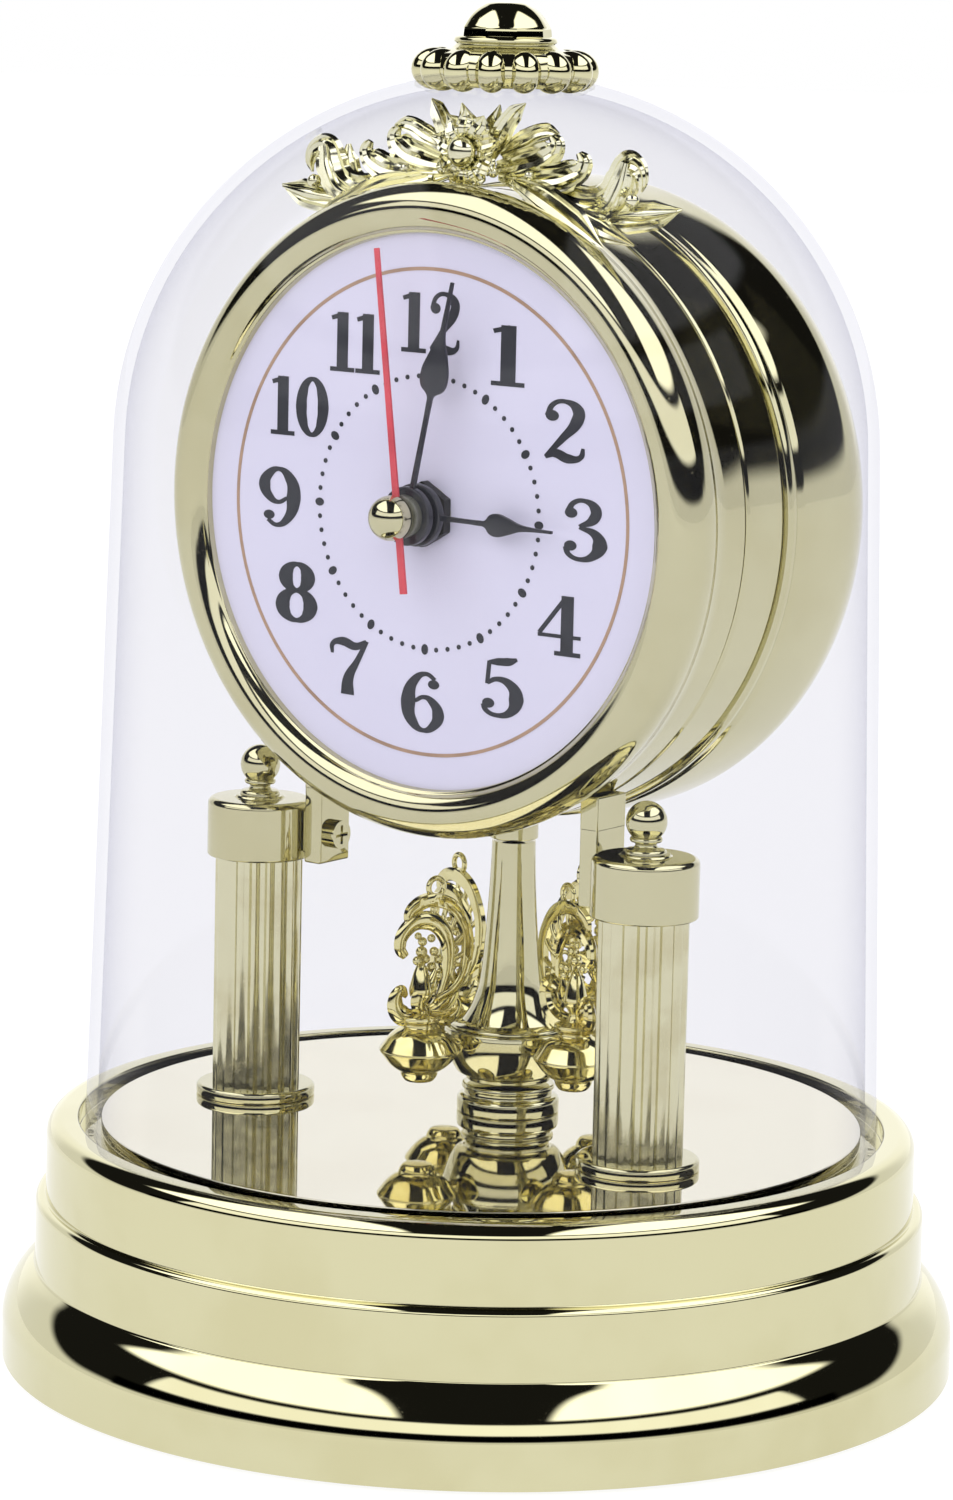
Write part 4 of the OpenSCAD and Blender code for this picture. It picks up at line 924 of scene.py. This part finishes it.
for hand in (1, -1):
    mirror = Matrix.Diagonal((hand, 1, 1, 1))
    leaves = (
        # upright leaf beside the flower
        ([(1.6, 35.4, 0.2, 0.5), (3.4, 38.2, 0.8, 1.3), (4.9, 40.3, 0.6, 1.0), (5.9, 41.3, 0.2, 0.1)],
         LEAF_CUT),
        ([(0.6, 36.5, -0.6, 0.6), (1.8, 39.2, -0.4, 1.2), (2.4, 41.0, -0.2, 0.1)], LEAF_CUT),
        # first scroll lobe
        ([(3.0, 34.6, 0.6, 0.9), (6.2, 35.2, 1.0, 1.6), (8.9, 36.1, 0.9, 1.7), (10.1, 37.4, 0.6, 1.1),
          (9.6, 38.2, 0.8, 0.4)], LEAF_CUT),
        ([(3.0, 36.2, 0.2, 0.6), (6.0, 37.6, 0.6, 1.1), (8.8, 38.6, 0.4, 0.9), (10.3, 38.3, 0.5, 0.3)],
         LEAF_CUT),
        # second scroll lobe
        ([(5.0, 33.7, 0.8, 0.9), (8.8, 33.8, 1.2, 1.6), (11.9, 34.4, 1.0, 1.6), (13.6, 35.7, 0.7, 1.1),
          (13.1, 36.7, 0.9, 0.4)], LEAF_CUT),
        # trough that runs out to the curled leaf
        ([(7.5, 32.9, 0.2, 0.9), (11.5, 32.1, 0.6, 1.6), (14.8, 31.6, 0.8, 1.9), (17.2, 32.4, 0.7, 2.1),
          (18.3, 34.2, 0.6, 2.1), (18.9, 35.7, 0.6, 1.6), (20.1, 35.7, 0.8, 1.1), (20.9, 34.4, 0.9, 0.7),
          (20.7, 33.2, 0.8, 0.15)], LEAF_CUT),
        ([(12.5, 32.3, -0.6, 0.7), (15.6, 32.3, -0.4, 1.3), (17.0, 34.4, -0.6, 1.3),
          (17.2, 36.2, -0.7, 0.3)],
         LEAF_CUT),
        ([(13.5, 31.0, 1.0, 0.6), (16.6, 31.4, 1.6, 0.9), (18.2, 33.5, 1.6, 0.9), (18.9, 36.0, 1.3, 0.5)],
         LEAF_CUT),
        # spear leaf at the end
        ([(15.5, 30.2, 0.4, 0.9), (18.9, 30.6, 0.5, 1.7), (22.3, 31.0, 0.4, 1.5), (25.2, 31.7, 0.2, 0.1)],
         LEAF_CUT),
        ([(17.5, 30.6, 1.0, 0.3), (21.0, 31.0, 1.2, 0.5), (24.8, 31.5, 0.6, 0.1)], None),
        # acanthus leaves lying down on the case
        ([(5.5, 33.4, 1.0, 0.8), (10.0, 32.0, 2.4, 1.7), (14.6, 29.8, 3.2, 1.7), (18.4, 27.7, 3.9, 0.1)],
         LEAF_CUT),
        ([(13.0, 30.9, 1.6, 0.8), (16.6, 29.4, 2.0, 1.4), (20.4, 27.9, 1.4, 0.1)], LEAF_CUT),
        ([(3.0, 33.9, 0.4, 0.5), (6.5, 32.9, 0.8, 0.9), (11.5, 31.2, 0.4, 0.6)], LEAF_CUT),
    )
    for path, cut in leaves:
        strand(crest, path, cut, 6, mirror)
    for x, y, z, size in ((20.0, 32.3, 1.4, 0.75), (3.2, 34.3, 1.8, 0.55), (7.8, 34.2, 2.0, 0.5)):
        ball(crest, (hand * x, y, z), size, detail=10)
place("acanthus_crest", crest, gold_crest, "base", ["crest"], "gold", to_crest, sharp=45)

ferrule_high = box_mm("stem_ferrule")[1]
ferrule = turned([(1.2, 54.7), (2.55, 54.7, 0.15), (2.55, ferrule_high.z + 0.2),
                  (1.2, ferrule_high.z + 0.2)], steps=64)
place("stem_top_ferrule", ferrule, gold, "base", ["stem_ferrule"], "gold", to_pendulum)

# ---- dome ----

SHOULDER_R = 38.2
CROWN_ROUND = 37.25
WALL = 1.2
RIM_ROUND = 0.3
foot_r = dome_high.x
inner_r = SHOULDER_R - WALL
crown = dome_high.z
dome = turned([(0, crown), (SHOULDER_R, crown, CROWN_ROUND), (foot_r, dome_low.z, RIM_ROUND),
               (foot_r - WALL, dome_low.z, RIM_ROUND), (inner_r, crown - WALL, 36.0), (0, crown - WALL)],
              steps=192, closed=False)
place("clear_dome", dome, dome_clear, "dome", ["dome"], "clear", sharp=60)

# finial: ring of lobes, band and faceted button
LOBES = 14
finial = turned([(1.5, crown - 1.6), (7.6, crown - 1.3, 0.2), (8.6, crown + 0.2, 0.6),
                 (8.0, crown + 2.0, 0.6), (5.3, crown + 2.6, 0.4), (5.0, crown + 3.0, 0.15),
                 (5.3, crown + 3.2, 0.12), (5.2, crown + 3.6, 0.15), (4.6, crown + 3.8, 0.1),
                 (0, crown + 3.9)], steps=112, closed=False)
for i in range(LOBES):
    lobe = bmesh.new()
    ball(lobe, (7.1, 0, crown + 0.35), 1.0, (2.45, 1.78, 2.15), detail=14)
    join(finial, lobe, turn(360 * (i + 0.5) / LOBES))
turned([(4.7, crown + 3.6), (4.6, crown + 4.6, 0.3), (3.6, crown + 6.2, 0.9), (1.9, finial_high, 0.5),
        (0, finial_high)],
       steps=9, closed=False, bm=finial)
place("dome_rosette_finial", finial, gold, "dome", ["dome_finial"], "gold", sharp=38)

# ---- finishes on the parts kept from the frame ----

KEPT = {
    "base_cover": black_plastic, "battery_door": black_plastic, "set_knob": black_plastic,
    "cover_screws": steel, "strap_screws": gold, "tie_rods": steel, "cell_contacts": steel,
    "movement_contacts": steel, "stator": steel, "second_arbor": steel, "foot_pads": rubber,
    "pendulum_cell": jacket, "movement_cell": jacket, "drive_board": board, "movement_board": board,
    "drive_coil": copper, "motor_coil": copper, "switch_slider": white_plastic,
    "movement_front": white_plastic, "movement_back": white_plastic, "train_bridge": white_plastic,
    "hour_wheel": white_plastic, "centre_wheel": white_plastic, "third_wheel": white_plastic,
    "intermediate_wheel": white_plastic, "minute_wheel": white_plastic, "rotor": magnet,
    "pendulum_magnet": magnet,
}
for name, material in KEPT.items():
    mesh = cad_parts[name].data
    mesh.materials.clear()
    mesh.materials.append(material)

for cut in (LEAF_CUT, FLAT_CUT, PRINT_CUT):
    bpy.data.objects.remove(cut)

# ---- studio ----

CAMERA_AZIMUTH = math.radians(36.24)
CAMERA_ELEVATION = 0.153048
CAMERA_DISTANCE = 0.527497
CAMERA_ROLL = 0.0229388
CAMERA_LENS = 122.25
AIM_HEIGHT = 0.070
AIM_RIGHT, AIM_DOWN = -0.002788, 0.010248

toward = Vector((math.sin(CAMERA_AZIMUTH) * math.cos(CAMERA_ELEVATION),
                 -math.cos(CAMERA_AZIMUTH) * math.cos(CAMERA_ELEVATION), math.sin(CAMERA_ELEVATION)))
right = Vector((math.cos(CAMERA_AZIMUTH), math.sin(CAMERA_AZIMUTH), 0))
up = toward.cross(right)
rolled_right = right * math.cos(CAMERA_ROLL) + up * math.sin(CAMERA_ROLL)
rolled_up = up * math.cos(CAMERA_ROLL) - right * math.sin(CAMERA_ROLL)
look = (-toward + rolled_right * AIM_RIGHT - rolled_up * AIM_DOWN).normalized()
side_axis = look.cross(rolled_up).normalized()
camera = bpy.data.objects.new("camera", bpy.data.cameras.new("camera"))
camera.data.lens = CAMERA_LENS
camera.data.clip_start = 0.01
camera.data.clip_end = 50
camera.matrix_world = Matrix.Translation(Vector((0, 0, AIM_HEIGHT)) + toward * CAMERA_DISTANCE) @ Matrix(
    (side_axis, side_axis.cross(look), -look)).transposed().to_4x4()
bpy.context.scene.collection.objects.link(camera)
bpy.context.scene.camera = camera
bpy.context.scene.view_settings.view_transform = "Standard"

# floor: a wide pale disc
FLOOR_R = 4.0
FLOOR_GLOW = 0.88
floor_mesh = bmesh.new()
bmesh.ops.create_circle(floor_mesh, cap_ends=True, segments=96, radius=FLOOR_R)
mesh = bpy.data.meshes.new("studio_floor")
floor_mesh.to_mesh(mesh)
floor_mesh.free()
floor = bpy.data.objects.new("studio_floor", mesh)
bpy.context.scene.collection.objects.link(floor)
floor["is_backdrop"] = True
floor_paint, floor_tree, floor_bsdf = finish_material("pale_floor")
floor_bsdf.inputs["Roughness"].default_value = 0.9
floor_bsdf.inputs["Specular IOR Level"].default_value = 0.1
floor_bsdf.inputs["Emission Color"].default_value = (1, 1, 1, 1)
floor_bsdf.inputs["Emission Strength"].default_value = FLOOR_GLOW
feed(floor_tree, floor_bsdf.inputs["Base Color"],
     mixed(floor_tree, noise(floor_tree, coordinates(floor_tree), 3, 2), (0.17, 0.17, 0.17, 1),
           (0.19, 0.19, 0.19, 1)))
mesh.materials.append(floor_paint)

# surroundings: pale tent up to the horizon, dark room above it with two large soft boxes
world = bpy.data.worlds.new("studio_tent")
bpy.context.scene.world = world
world.use_nodes = True
tent = world.node_tree
ray = tent.nodes.new("ShaderNodeTexCoord").outputs["Generated"]
spun = tent.nodes.new("ShaderNodeVectorRotate")
spun.rotation_type = "Z_AXIS"
feed(tent, spun.inputs["Vector"], ray)
spun.inputs["Angle"].default_value = -CAMERA_AZIMUTH
axes = tent.nodes.new("ShaderNodeSeparateXYZ")
feed(tent, axes.inputs[0], spun.outputs[0])
# elevation above the horizon and bearing from the front, both in degrees; right is positive
DEG = 180 / math.pi
elevation = sums(tent, "MULTIPLY", sums(tent, "ARCSINE", axes.outputs["Z"]), DEG)
bearing = sums(tent, "MULTIPLY", sums(tent, "ARCTAN2", axes.outputs["X"],
                                      sums(tent, "MULTIPLY", axes.outputs["Y"], -1.0)), DEG)
away = sums(tent, "ABSOLUTE", bearing)


def window(low, high, low_to, high_to, soft=1.5, sideways=bearing, upward=elevation):
    """A soft-edged rectangle of bearings and elevations."""
    a = ramp(tent, sideways, low - soft, low + soft)
    b = ramp(tent, sideways, high - soft, high + soft, 1.0, 0.0)
    c = ramp(tent, upward, low_to - soft, low_to + soft)
    d = ramp(tent, upward, high_to - soft, high_to + soft, 1.0, 0.0)
    return sums(tent, "MULTIPLY", sums(tent, "MULTIPLY", a, b), sums(tent, "MULTIPLY", c, d))


pale = 0.95
# the pale surround reaches higher behind the clock than at its front and sides
tent_top = ramp(tent, away, 105.0, 160.0, 4.0, 30.0)
backdrop = ramp(tent, away, 140.0, 160.0, pale, 1.3)
glow = ramp(tent, sums(tent, "SUBTRACT", elevation, tent_top), -2.0, 3.0, backdrop, 0.012)
front_gap = window(-95, 95, 4, 13)
glow = sums(tent, "MULTIPLY", glow, sums(tent, "SUBTRACT", 1.0, sums(tent, "MULTIPLY", front_gap, 0.97)))
beside = ramp(tent, sums(tent, "ABSOLUTE", axes.outputs["X"]), 0.25, 0.30)
forward = ramp(tent, axes.outputs["Y"], 0.28, 0.38, 1.0, 0.0)
overhead = sums(tent, "MULTIPLY", sums(tent, "MULTIPLY", beside, forward),
                ramp(tent, elevation, 34.0, 38.0))
for share in (sums(tent, "MULTIPLY", window(-85, 85, 15, 31), 1.5),
              sums(tent, "MULTIPLY", overhead, 2.2)):
    glow = sums(tent, "MAXIMUM", glow, share)
light_path = tent.nodes.new("ShaderNodeLightPath")
seen = light_path.outputs["Is Camera Ray"]
shade = tent.nodes["Background"]
feed(tent, shade.inputs["Strength"], 1.0)
tone = tent.nodes.new("ShaderNodeCombineColor")
level = sums(tent, "ADD", sums(tent, "MULTIPLY", glow, sums(tent, "SUBTRACT", 1.0, seen)), seen)
for channel in range(3):
    feed(tent, tone.inputs[channel], level)
feed(tent, shade.inputs["Color"], tone.outputs[0])


def soft_lamp(name, where, aim, size, power):
    """A large soft lamp that lights matt surfaces but isn't mirrored in the plating."""
    lamp = bpy.data.lights.new(name, "AREA")
    lamp.size = size
    lamp.energy = power
    made = bpy.data.objects.new(name, lamp)
    made.location = where
    made.rotation_euler = (Vector(aim) - Vector(where)).to_track_quat("-Z", "Y").to_euler()
    made.visible_glossy = False
    made.visible_camera = False
    bpy.context.scene.collection.objects.link(made)


soft_lamp("fill_front", (0.5, -1.4, 0.9), (0, 0, 0.08), 1.4, 9)
soft_lamp("fill_top", (0, 0.2, 1.8), (0, 0, 0), 2.2, 12)

low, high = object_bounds()
